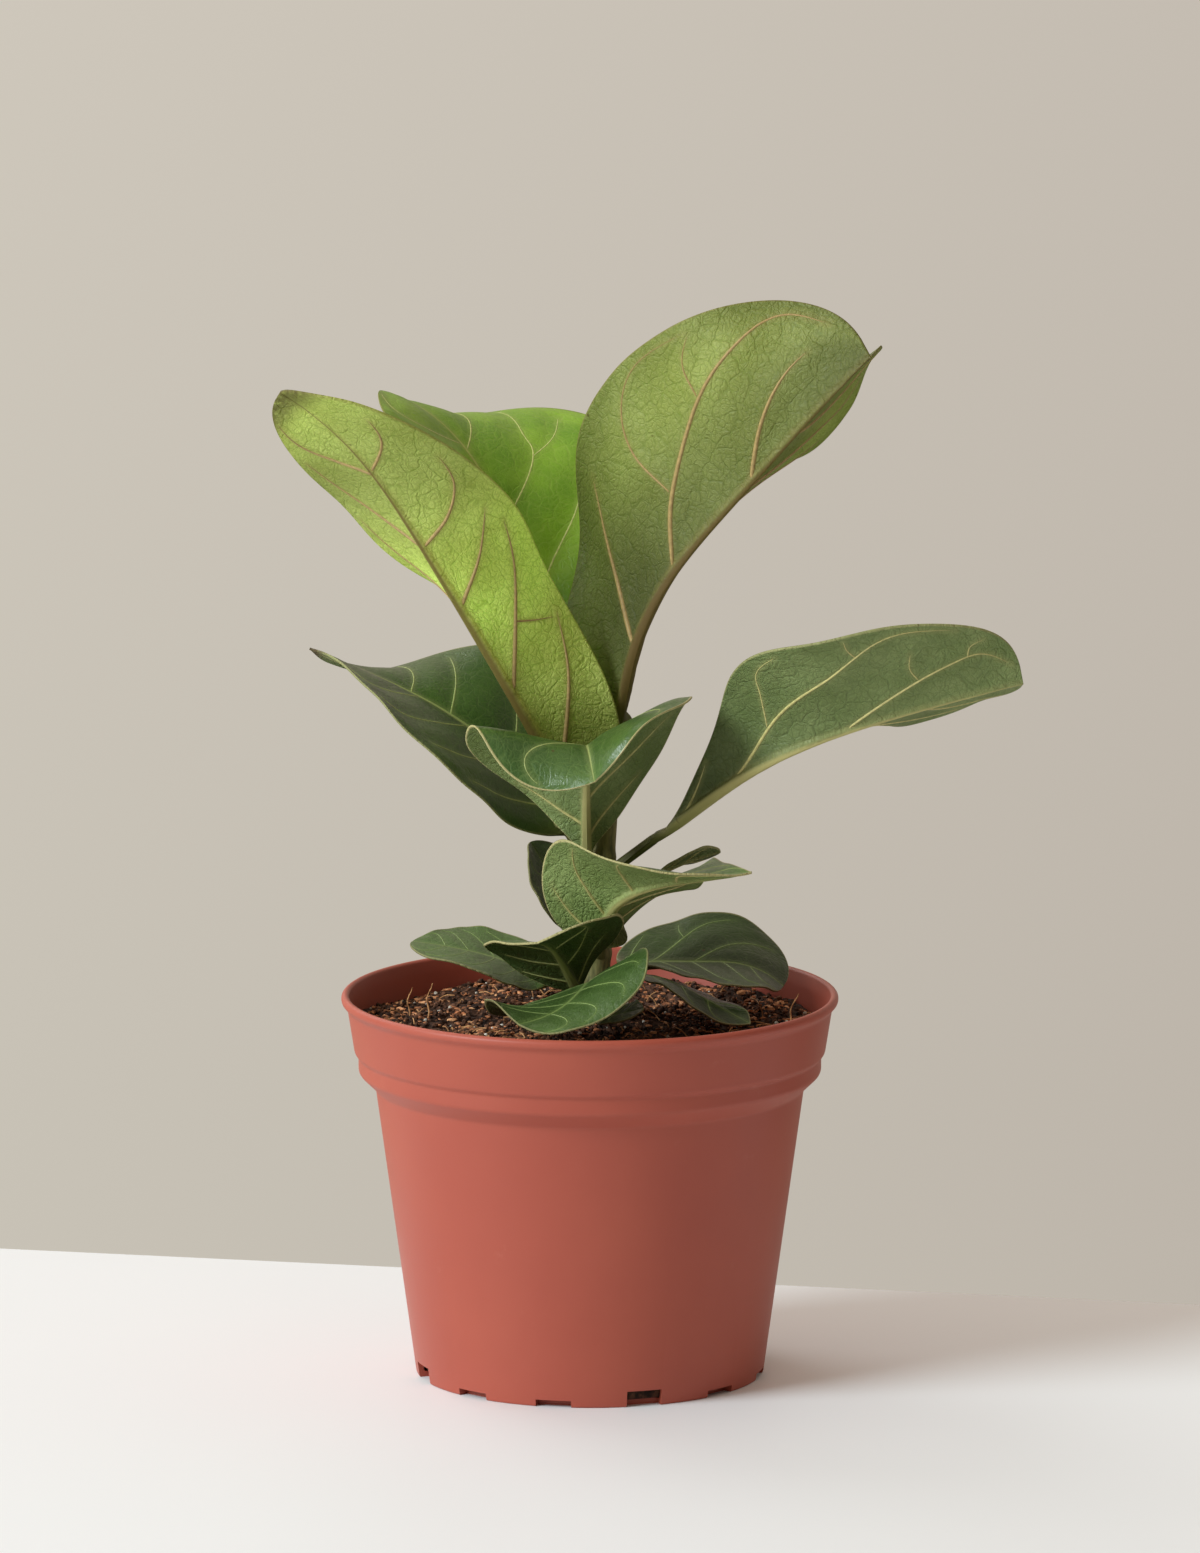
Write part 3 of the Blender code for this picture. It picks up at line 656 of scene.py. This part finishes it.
# (blade, its darker patches, net of fine veins, side veins, light coming through) by kind and side of leaf
TINTS = {
    ("young_leaf", "upper"):
        ((148, 190, 56), (112, 158, 40), (168, 196, 84), (206, 212, 128), (190, 240, 40)),
    ("young_leaf", "under"):
        ((162, 170, 96), (146, 153, 78), (104, 120, 42), (172, 146, 92), (222, 222, 142)),
    ("grown_leaf", "upper"): ((68, 94, 42), (50, 76, 31), (92, 114, 60), (170, 182, 112), (80, 130, 10)),
    ("grown_leaf", "under"): ((120, 134, 82), (98, 114, 62), (84, 100, 54), (196, 188, 122), (100, 140, 20)),
    ("low_leaf", "upper"): ((72, 98, 48), (54, 78, 34), (92, 118, 62), (130, 154, 86), (70, 120, 10)),
    ("low_leaf", "under"): ((66, 82, 36), (48, 64, 24), (44, 60, 24), (150, 156, 92), (70, 110, 10)),
}

SHINE = {"young_leaf": 0.5, "grown_leaf": 0.5, "low_leaf": 0.3}


def blade_finish(slot, side):
    """A waxy blade. The underside is paler and puckered, and light comes through."""
    base, dark, net_tint, vein_tint, glow_tint = (rgb(*tint) for tint in TINTS[slot, side])
    upper = side == "upper"
    young = slot == "young_leaf"
    f = Finish(f"{slot} {side}")
    blade = f.read_vector("blade")
    wobble = f.add("ShaderNodeTexNoise")
    f.put(wobble.inputs["Vector"], blade)
    f.put(wobble.inputs["Scale"], 0.25)
    warp = f.add("ShaderNodeVectorMath", operation="MULTIPLY_ADD")
    f.put(warp.inputs[0], wobble.outputs["Color"])
    f.put(warp.inputs[1], (3.0, 3.0, 0.0))
    f.put(warp.inputs[2], blade)
    spot = warp.outputs[0]

    coarse_gap = f.cells(spot, 0.17)
    middle_gap = f.cells(spot, 0.50)
    fine_gap = f.cells(spot, 1.4)
    coarse = f.step(coarse_gap, 0.0, 0.05, 1.0, 0.0)
    middle = f.step(middle_gap, 0.0, 0.10, 1.0, 0.0)
    fine = f.step(fine_gap, 0.0, 0.16, 1.0, 0.0)
    near_vein = f.step(f.read("vein"), 0.0, 1.6, 1.0, 0.0)
    midrib = f.step(f.read("midrib"), -0.35, 0.10, 1.0, 0.0)
    near_midrib = f.step(f.read("midrib"), 0.0, 2.0, 1.0, 0.0)
    margin_gap = f.read("margin")
    margin = f.math("MULTIPLY", f.step(margin_gap, 0.30, 0.75, 1.0, 0.0), f.read("edge"))

    patches = f.noise(blade, 0.045, 3.0)
    mottle = f.noise(blade, 0.6, 3.0)
    colour = f.mix(f.step(patches, 0.35, 0.68), base, dark)
    colour = f.mix(f.math("MULTIPLY", f.step(mottle, 0.42, 0.7), 0.22), colour, dark)
    colour = f.mix(f.math("MULTIPLY", fine, 0.15 if upper else 0.32), colour, net_tint)
    colour = f.mix(f.math("MULTIPLY", middle, 0.24 if upper else 0.42), colour, net_tint)
    colour = f.mix(f.math("MULTIPLY", coarse, 0.28 if upper else 0.34), colour, net_tint)
    # Painted light and shade: the colour is scaled by the leaf's painted brightness along and across the
    # blade.
    painted_light_toned = f.add("ShaderNodeVectorMath", operation="SCALE")
    f.put(painted_light_toned.inputs[0], colour)
    f.put(painted_light_toned.inputs["Scale"], f.read("tone"))
    colour = painted_light_toned.outputs[0]
    colour = f.mix(f.math("MULTIPLY", near_vein, 0.16), colour, vein_tint)
    colour = f.mix(f.math("MULTIPLY", near_midrib, 0.20), colour, vein_tint)
    rib_tint = vein_tint if upper or not young else rgb(116, 92, 50)
    colour = f.mix(f.math("MULTIPLY", midrib, 0.95), colour, rib_tint)
    margin_tint = rgb(140, 120, 66) if young else rgb(196, 186, 130)
    colour = f.mix(margin, colour, margin_tint)
    colour = f.mix(f.math("MULTIPLY", f.read("stalk"), 0.85), colour, rgb(92, 92, 44))
    flecks = f.step(f.cells(blade, 0.075, "F1"), 0.02, 0.05, 1.0, 0.0)
    colour = f.mix(f.math("MULTIPLY", flecks, 0.7), colour, rgb(84, 62, 30))
    scorched = f.math("MULTIPLY", f.read("scorch"), f.step(mottle, 0.2, 0.6, 0.5, 1.0))
    colour = f.mix(scorched, colour, rgb(74, 50, 26))

    pucker = f.step(middle_gap, 0.0, 0.22)
    pucker = f.math("ADD", pucker, f.math("MULTIPLY", f.step(coarse_gap, 0.0, 0.07), 1.2))
    pucker = f.math("ADD", pucker, f.math("MULTIPLY", f.step(fine_gap, 0.0, 0.4), 0.7))
    pucker = f.math("ADD", pucker, f.math("MULTIPLY", f.noise(blade, 2.4, 2.0), 0.15))
    pucker = f.math("MULTIPLY", pucker, f.math("SUBTRACT", 1.0, midrib))
    normal = f.bump(pucker, 0.14 * MM if upper else 0.26 * MM, 0.30 if upper else 0.55)

    rough = f.step(mottle, 0.3, 0.7, 0.30, 0.40) if upper else f.step(mottle, 0.3, 0.7, 0.50, 0.60)
    solid = f.principled(Base_Color=colour, Roughness=rough, Normal=normal,
                         Specular_IOR_Level=SHINE[slot] if upper else 0.4)
    glow = f.add("ShaderNodeBsdfTranslucent")
    f.put(glow.inputs["Color"], f.mix(0.5, colour, glow_tint))
    f.put(glow.inputs["Normal"], normal)
    blend = f.add("ShaderNodeMixShader")
    f.put(blend.inputs[0], 0.36 if young else 0.20)
    f.put(blend.inputs[1], solid)
    f.put(blend.inputs[2], glow.outputs[0])
    return f.finish(blend.outputs[0])


def vein_finish(slot, side):
    vein_tint = rgb(*TINTS[slot, side][3])
    f = Finish(f"{slot} veins {side}")
    grain = f.noise(f.read_vector("blade"), 0.8, 3.0)
    colour = f.mix(f.step(grain, 0.35, 0.65), vein_tint, tuple(0.78 * channel for channel in vein_tint))
    normal = f.bump(grain, 0.1 * MM, 0.4)
    return f.finish(f.principled(Base_Color=colour, Roughness=0.5, Normal=normal, Specular_IOR_Level=0.35))


FINISHES = {(slot, "blade", side): blade_finish(slot, side) for slot, side in TINTS}
FINISHES |= {(slot, "veins", side): vein_finish(slot, side) for slot, side in TINTS}


def pot_finish():
    """Moulded plastic: even colour, a faint pebbled sheen and light scuffs."""
    f = Finish("terracotta coloured plastic")
    spot = f.place()
    cloud = f.noise(spot, 14.0, 4.0)
    colour = f.mix(f.step(cloud, 0.35, 0.7), rgb(165, 77, 60), rgb(172, 84, 65))
    scuffs = f.step(f.noise(spot, 90.0, 6.0, 0.7), 0.62, 0.75)
    colour = f.mix(f.math("MULTIPLY", scuffs, 0.12), colour, rgb(196, 128, 108))
    grain = f.noise(spot, 900.0, 2.0)
    ripple = f.noise(spot, 60.0, 2.0)
    height = f.math("ADD", f.math("MULTIPLY", grain, 0.15), ripple)
    normal = f.bump(height, 0.15 * MM, 0.5)
    rough = f.step(cloud, 0.3, 0.7, 0.42, 0.52)
    return f.finish(f.principled(Base_Color=colour, Roughness=rough, Normal=normal, Specular_IOR_Level=0.4))


def bark_finish():
    f = Finish("young bark")
    spot = f.place()
    stretch = f.add("ShaderNodeMapping")
    f.put(stretch.inputs["Vector"], spot)
    stretch.inputs["Scale"].default_value = (1, 1, 0.25)
    streaks = f.noise(stretch.outputs[0], 700.0, 4.0)
    colour = f.mix(f.step(streaks, 0.35, 0.65), rgb(92, 94, 50), rgb(140, 134, 82))
    normal = f.bump(streaks, 0.4 * MM, 0.7)
    return f.finish(f.principled(Base_Color=colour, Roughness=0.65, Normal=normal))


def sheath_finish():
    f = Finish("bud sheath")
    spot = f.place()
    streaks = f.noise(spot, 600.0, 3.0)
    colour = f.mix(f.step(streaks, 0.35, 0.65), rgb(120, 98, 52), rgb(150, 140, 72))
    normal = f.bump(streaks, 0.2 * MM, 0.6)
    return f.finish(f.principled(Base_Color=colour, Roughness=0.5, Normal=normal))


def crumb_finish(name, dark, light, rough=0.9):
    f = Finish(name)
    spot = f.place()
    patches = f.noise(spot, 420.0, 3.0)
    colour = f.mix(f.step(patches, 0.35, 0.65), dark, light)
    normal = f.bump(f.noise(spot, 1500.0, 3.0), 0.3 * MM, 0.8)
    return f.finish(f.principled(Base_Color=colour, Roughness=rough, Normal=normal, Specular_IOR_Level=0.25))


# Pot --------------------------------------------------------------------------------

WALL = 1.5 * MM
FLOOR = 1.6 * MM
BASE_RADIUS = 53.4 * MM
COLLAR_RADIUS = RIM_RADIUS - 1.8 * MM
COLLAR_FOOT_RADIUS = COLLAR_RADIUS - 2.2 * MM
BAND_RADIUS = COLLAR_FOOT_RADIUS - 1.2 * MM
SHOULDER_RADIUS = RIM_RADIUS - 10.4 * MM
COLLAR_FOOT = RIM_HEIGHT - 18 * MM
SHOULDER = RIM_HEIGHT - 29 * MM
FIRST_NOTCH = radians(-72)
NOTCHES = 12
TALL_NOTCH = 10 * MM
LOW_NOTCH = 4.4 * MM


def rounded(points, radius, steps=4):
    """The outline with each inner corner turned into a short arc of this radius."""
    smooth = [points[0]]
    for before, corner, after in zip(points, points[1:], points[2:]):
        before, corner, after = Vector(before), Vector(corner), Vector(after)
        back = before - corner
        ahead = after - corner
        cut = min(radius, back.length * 0.45, ahead.length * 0.45)
        start = corner + back.normalized() * cut
        end = corner + ahead.normalized() * cut
        for i in range(steps + 1):
            u = i / steps
            smooth.append(tuple(start * (1 - u) ** 2 + corner * 2 * u * (1 - u) + end * u * u))
    smooth.append(points[-1])
    return smooth


def turn(outline, steps):
    """A closed skin turned from an outline of (radius, height) points that starts and ends on the axis."""
    bm = bmesh.new()
    verts = [bm.verts.new((x, 0, z)) for x, z in outline]
    edges = [bm.edges.new(pair) for pair in zip(verts, verts[1:])]
    bmesh.ops.spin(bm, geom=verts + edges, axis=(0, 0, 1), cent=(0, 0, 0), angle=2 * pi, steps=steps,
                   use_merge=True)
    bmesh.ops.remove_doubles(bm, verts=bm.verts, dist=0.02 * MM)
    bmesh.ops.recalc_face_normals(bm, faces=bm.faces)
    return bm


def make_pot():
    outline = (
        (0.0, 0.0),
        (BASE_RADIUS * 0.5, 0.0),
        (BASE_RADIUS - 0.3 * MM, 0.0),
        (BASE_RADIUS, 0.4 * MM),
        (SHOULDER_RADIUS, SHOULDER),
        (BAND_RADIUS, COLLAR_FOOT - 6.0 * MM),
        (BAND_RADIUS, COLLAR_FOOT - 1.2 * MM),
        (COLLAR_FOOT_RADIUS, COLLAR_FOOT),
        (COLLAR_RADIUS, RIM_HEIGHT - 4.2 * MM),
        (RIM_RADIUS, RIM_HEIGHT - 2.4 * MM),
        (RIM_RADIUS, RIM_HEIGHT - 0.9 * MM),
        (RIM_RADIUS - 1.1 * MM, RIM_HEIGHT),
        (RIM_RADIUS - 2.3 * MM, RIM_HEIGHT - 0.5 * MM),
        (COLLAR_RADIUS - WALL, RIM_HEIGHT - 4.2 * MM),
        (COLLAR_FOOT_RADIUS - WALL, COLLAR_FOOT),
        (BAND_RADIUS - WALL, COLLAR_FOOT - 1.4 * MM),
        (BAND_RADIUS - WALL, COLLAR_FOOT - 5.2 * MM),
        (SHOULDER_RADIUS - WALL, SHOULDER),
        (BASE_RADIUS - WALL, FLOOR),
        (0.0, FLOOR),
    )
    pot = add_piece("nursery_pot", to_mesh(turn(rounded(outline, 1.0 * MM), 144), "nursery_pot"))
    cutter = bmesh.new()
    for index in range(NOTCHES):
        height = TALL_NOTCH if index % 3 == 0 else LOW_NOTCH
        turned = Matrix.Rotation(FIRST_NOTCH + index * 2 * pi / NOTCHES, 4, "Z")
        size = Matrix.Diagonal((12 * MM, 11 * MM, height, 1))
        place = turned @ Matrix.Translation((BASE_RADIUS + 2.5 * MM, 0, 0)) @ size
        bmesh.ops.create_cube(cutter, size=1, matrix=place)
    tool = add_piece("notches", to_mesh(cutter, "notches"))
    cut = pot.modifiers.new("notches", "BOOLEAN")
    cut.object = tool
    apply_modifiers(pot)
    bpy.data.objects.remove(tool)
    pot.data.materials.append(pot_finish())
    pot.data.shade_smooth()
    pot.data.set_sharp_from_angle(angle=radians(35))
    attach(pot, "root")
    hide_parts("pot")


def apply_modifiers(piece):
    graph = bpy.context.evaluated_depsgraph_get()
    mesh = bpy.data.meshes.new_from_object(piece.evaluated_get(graph))
    piece.modifiers.clear()
    piece.data = mesh


# Potting mix ------------------------------------------------------------------------

MIX_SWELL = 2.2 * MM
INNER_RADIUS = COLLAR_FOOT_RADIUS - WALL + 0.6 * MM
LOOSE_FIBRES = 110
LOOSE_REACH = 64 * MM


def mix_height(x, y):
    swell = sin(90 * x + 0.6) * cos(75 * y - 0.4) + 0.5 * sin(210 * x - 160 * y)
    return MIX_LEVEL + MIX_SWELL * swell / 1.5


def make_mix():
    outline = [(0.0, 0.0)] + [(INNER_RADIUS * i / 60, 0.0) for i in range(1, 61)]
    bm = turn([*outline, (SHOULDER_RADIUS - WALL - 1 * MM, SHOULDER - MIX_LEVEL),
               (BASE_RADIUS - WALL - 1 * MM, FLOOR + CLEARANCE - MIX_LEVEL),
               (0.0, FLOOR + CLEARANCE - MIX_LEVEL)], 180)
    dice = Random(5)
    for vert in bm.verts:
        x, y, z = vert.co
        if z > -0.1 * MM:
            z = mix_height(x, y) - MIX_LEVEL + dice.uniform(-0.9, 0.5) * MM
        vert.co = (x, y, z + MIX_LEVEL)
    bed = add_piece("mix_bed", to_mesh(bm, "mix_bed"))
    bed.data.materials.append(crumb_finish("dark peat", rgb(36, 24, 18), rgb(88, 60, 44)))
    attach(bed, "root")
    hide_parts("potting_mix")
    crumbs = (
        ("peat_crumbs", 2600, (0.35, 1.2), (1, 1, 0.8), rgb(44, 29, 22), rgb(118, 80, 58)),
        ("bark_crumbs", 1700, (0.3, 1.1), (1.5, 0.8, 0.6), rgb(122, 74, 48), rgb(206, 138, 94)),
        ("bark_chips", 380, (0.5, 1.4), (1.9, 0.9, 0.35), rgb(176, 106, 66), rgb(240, 182, 132)),
        ("pale_grit", 240, (0.3, 0.8), (1, 1, 0.9), rgb(176, 168, 154), rgb(226, 220, 208)),
    )
    for seed, (name, count, sizes, stretch, dark, light) in enumerate(crumbs):
        scatter(name, count, sizes, stretch, crumb_finish(name.replace("_", " "), dark, light), seed)


def scatter(name, count, sizes, stretch, finish, seed):
    """Loose crumbs over the mix, joined in one piece."""
    dice = Random(100 + seed)
    bm = bmesh.new()
    for _ in range(count):
        angle = dice.uniform(0, 2 * pi)
        reach = (INNER_RADIUS - 1.2 * MM) * dice.random() ** 0.5
        x, y = reach * cos(angle), reach * sin(angle)
        size = dice.uniform(*sizes) * MM * (0.6 + 0.4 * dice.random())
        turned = Matrix.Rotation(dice.uniform(0, 2 * pi), 4, "Z")
        turned = turned @ Matrix.Rotation(dice.uniform(-0.7, 0.7), 4, "X")
        shape = Matrix.Diagonal((*[size * s for s in stretch], 1))
        place = Matrix.Translation((x, y, mix_height(x, y) + size * stretch[2] * dice.uniform(0.0, 0.8)))
        bmesh.ops.create_icosphere(bm, subdivisions=1, radius=1, matrix=place @ turned @ shape)
    rough = 0.22 * sizes[0] * MM
    for vert in bm.verts:
        vert.co += Vector([dice.uniform(-rough, rough) for _ in range(3)])
    piece = add_piece(name, to_mesh(bm, name))
    piece.data.materials.append(finish)
    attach(piece, "root")


def make_straws():
    finish = crumb_finish("dry straw", rgb(150, 104, 64), rgb(212, 160, 108), 0.7)
    for name in ("straw_left", "straw_left_inner", "straw_right"):
        low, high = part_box(name)
        bow = 0.6 * MM
        foot = Vector((low.x + bow, (low.y + high.y) / 2, low.z - 2 * MM))
        top = Vector((high.x - bow, (low.y + high.y) / 2 + 1 * MM, high.z))
        points = [foot.lerp(top, i / 8) + Vector((bow * sin(i), bow * cos(2 * i), 0)) for i in range(9)]
        piece = tube(name + "_fibre", points, [0.34 * MM * (1 - 0.07 * i) for i in range(9)], finish)
        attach(piece, "root")
        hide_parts(name)
    dice = Random(31)
    bm = bmesh.new()
    for _ in range(LOOSE_FIBRES):
        angle = dice.uniform(0, 2 * pi)
        reach = LOOSE_REACH * dice.random() ** 0.5
        foot = Vector((reach * cos(angle), reach * sin(angle), 0))
        foot.z = mix_height(foot.x, foot.y) + 0.6 * MM
        lean = Vector((dice.uniform(-1, 1), dice.uniform(-1, 1), dice.uniform(0.0, 0.5))).normalized()
        length = dice.uniform(3, 7) * MM
        points = [foot + lean * length * i / 4 + Vector((0, 0, 0.5 * MM * sin(i))) for i in range(5)]
        sweep(bm, points, [0.18 * MM] * 5, 5)
    piece = add_piece("loose_fibres", to_mesh(bm, "loose_fibres"))
    piece.data.materials.append(finish)
    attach(piece, "root")


def sweep(bm, points, radii, sides):
    """A closed tube along these points."""
    rings = []
    for i, (point, radius) in enumerate(zip(points, radii)):
        ahead = points[min(i + 1, len(points) - 1)] - points[max(i - 1, 0)]
        turned = ahead.to_track_quat("Z", "Y").to_matrix().to_4x4()
        made = bmesh.ops.create_circle(bm, segments=sides, radius=radius, cap_ends=False,
                                       matrix=Matrix.Translation(point) @ turned)
        rings.append(made["verts"])
    loops = [list(dict.fromkeys(e for v in ring for e in v.link_edges)) for ring in rings]
    for lower, higher in zip(loops, loops[1:]):
        bmesh.ops.bridge_loops(bm, edges=lower + higher)
    for ring in (rings[0], rings[-1]):
        edges = [e for e in dict.fromkeys(e for v in ring for e in v.link_edges) if e.is_boundary]
        bmesh.ops.holes_fill(bm, edges=edges)
    bmesh.ops.recalc_face_normals(bm, faces=bm.faces)


def tube(name, points, radii, finish, sides=10):
    bm = bmesh.new()
    sweep(bm, points, radii, sides)
    piece = add_piece(name, to_mesh(bm, name))
    piece.data.materials.append(finish)
    piece.data.shade_smooth()
    return piece


# Stem -------------------------------------------------------------------------------

STEM_STEPS = 130
BUD_STEPS = 24


def make_stem():
    """The stem, with a slight swelling at each leaf."""
    nodes = sorted(leaf.node for leaf in LEAVES)
    heights = np.linspace(STEM_ROUTE[0][0], STEM_ROUTE[-1][0], STEM_STEPS)
    points = []
    radii = []
    for height in heights:
        centre, radius = stem_at(height)
        nearest = min(abs(height - node) for node in nodes)
        swelling = 0.45 * MM * np.exp(-((nearest / (1.8 * MM)) ** 2))
        points.append(Vector(centre))
        radii.append(radius + swelling - 0.12 * MM)
    piece = tube("stem_bark", points, radii, bark_finish(), 28)
    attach(piece, "root")
    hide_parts("stem")


def make_bud():
    low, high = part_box("terminal_bud")
    middle = (low + high) / 2
    radius = (high.x - low.x) / 2
    points = []
    radii = []
    for i in range(BUD_STEPS + 1):
        u = i / BUD_STEPS
        height = low.z - 1.5 * MM + u * (high.z - low.z + 1 * MM)
        points.append(Vector((middle.x + 0.4 * MM * sin(3 * u), middle.y, height)))
        radii.append(max(0.12 * MM, radius * sin(pi * min(1, 0.28 + 0.72 * u)) ** 0.9))
    piece = tube("terminal_bud_sheath", points, radii, sheath_finish(), 18)
    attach(piece, "root")
    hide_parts("terminal_bud")


# Stage ------------------------------------------------------------------------------

SKY_DIRECTION = (-0.50, 0.52, 0.69)
SKY_DIM = (0.16, 0.132, 0.108)
SKY_BRIGHT = (0.80, 0.66, 0.55)
# Backdrop colours, left then right, with painted shade: darker to the right and lower down.
WALL_HIGH = (rgb(206, 199, 187), rgb(196, 188, 177))
WALL_LOW = (rgb(200, 194, 182), rgb(189, 181, 170))
TABLE_EDGE = 131 * MM
TABLE_TURN = radians(-12.2)
CAMERA_PLACE = (0.0031, -3.5, 0.8066)
CAMERA_PITCH = radians(90 - 10.06)
LENS = 270.4
LENS_SHIFT = -0.0015


def make_stage():
    bm = bmesh.new()
    bmesh.ops.create_cube(bm, size=1)
    bmesh.ops.scale(bm, vec=(9, 5, 0.04), verts=bm.verts)
    bmesh.ops.translate(bm, vec=(0, -2.5, -0.02), verts=bm.verts)
    place = Matrix.Translation((0, TABLE_EDGE, 0)) @ Matrix.Rotation(TABLE_TURN, 4, "Z")
    bmesh.ops.transform(bm, matrix=place, verts=bm.verts)
    table = add_piece("table_top", to_mesh(bm, "table_top"))
    f = Finish("pale table")
    spot = f.place()
    colour = f.mix(f.noise(spot, 6.0), rgb(231, 235, 237), rgb(235, 239, 241))
    table.data.materials.append(f.finish(f.principled(Base_Color=colour, Roughness=0.6)))


def make_light(name, place, target, size, power, colour):
    lamp = bpy.data.lights.new(name, "AREA")
    lamp.shape = "DISK"
    lamp.size = size
    lamp.energy = power
    lamp.color = colour
    holder = bpy.data.objects.new(name, lamp)
    holder.location = place
    holder.rotation_euler = (Vector(target) - Vector(place)).to_track_quat("-Z", "Y").to_euler()
    bpy.context.scene.collection.objects.link(holder)


def make_world():
    """A wall seen by the camera only, with painted shade that darkens it to the right and lower down, and
    soft daylight from high on the left.
    """
    world = bpy.data.worlds.new("studio")
    bpy.context.scene.world = world
    f = Nodes(world)
    direction = f.add("ShaderNodeTexCoord").outputs["Generated"]
    split = f.add("ShaderNodeSeparateXYZ")
    f.put(split.inputs[0], direction)
    rightward = f.share(split.outputs["X"], -0.055, 0.055)
    upward = f.share(split.outputs["Z"], -0.20, -0.11)
    # painted shade on the wall, darker to the right and lower down
    wall = f.mix(upward, f.mix(rightward, *WALL_LOW), f.mix(rightward, *WALL_HIGH))
    toward_sky = f.add("ShaderNodeVectorMath", operation="DOT_PRODUCT")
    f.put(toward_sky.inputs[0], direction)
    f.put(toward_sky.inputs[1], SKY_DIRECTION)
    daylight = f.mix(f.share(toward_sky.outputs["Value"], -0.5, 1.0), SKY_DIM, SKY_BRIGHT)
    blend = f.add("ShaderNodeMixShader")
    f.put(blend.inputs[0], f.add("ShaderNodeLightPath").outputs["Is Camera Ray"])
    for socket, colour in ((blend.inputs[1], daylight), (blend.inputs[2], wall)):
        background = f.add("ShaderNodeBackground")
        f.put(background.inputs["Color"], colour)
        f.put(socket, background.outputs[0])
    f.put(f.add("ShaderNodeOutputWorld").inputs["Surface"], blend.outputs[0])


def make_camera():
    lens = bpy.data.cameras.new("camera")
    lens.sensor_width = 36
    lens.lens = LENS
    lens.shift_y = LENS_SHIFT
    lens.clip_end = 100
    camera = bpy.data.objects.new("camera", lens)
    camera.location = CAMERA_PLACE
    camera.rotation_euler = (CAMERA_PITCH, 0, 0)
    bpy.context.scene.collection.objects.link(camera)
    bpy.context.scene.camera = camera


make_pot()
make_mix()
make_stem()
make_bud()
make_straws()
for one_leaf in LEAVES:
    make_leaf(one_leaf)
make_stage()
make_light("window", place=(-4.3, -2.45, 3.0), target=(0, 0, 0.17), size=2.7, power=325,
           colour=(0.85, 0.95, 1.0))
make_light("skylight", place=(-1.5, 1.7, 1.9), target=(0, 0, 0.2), size=1.6, power=16,
           colour=(0.95, 0.98, 1.0))
make_world()
make_camera()
bpy.context.scene.view_settings.view_transform = "Standard"
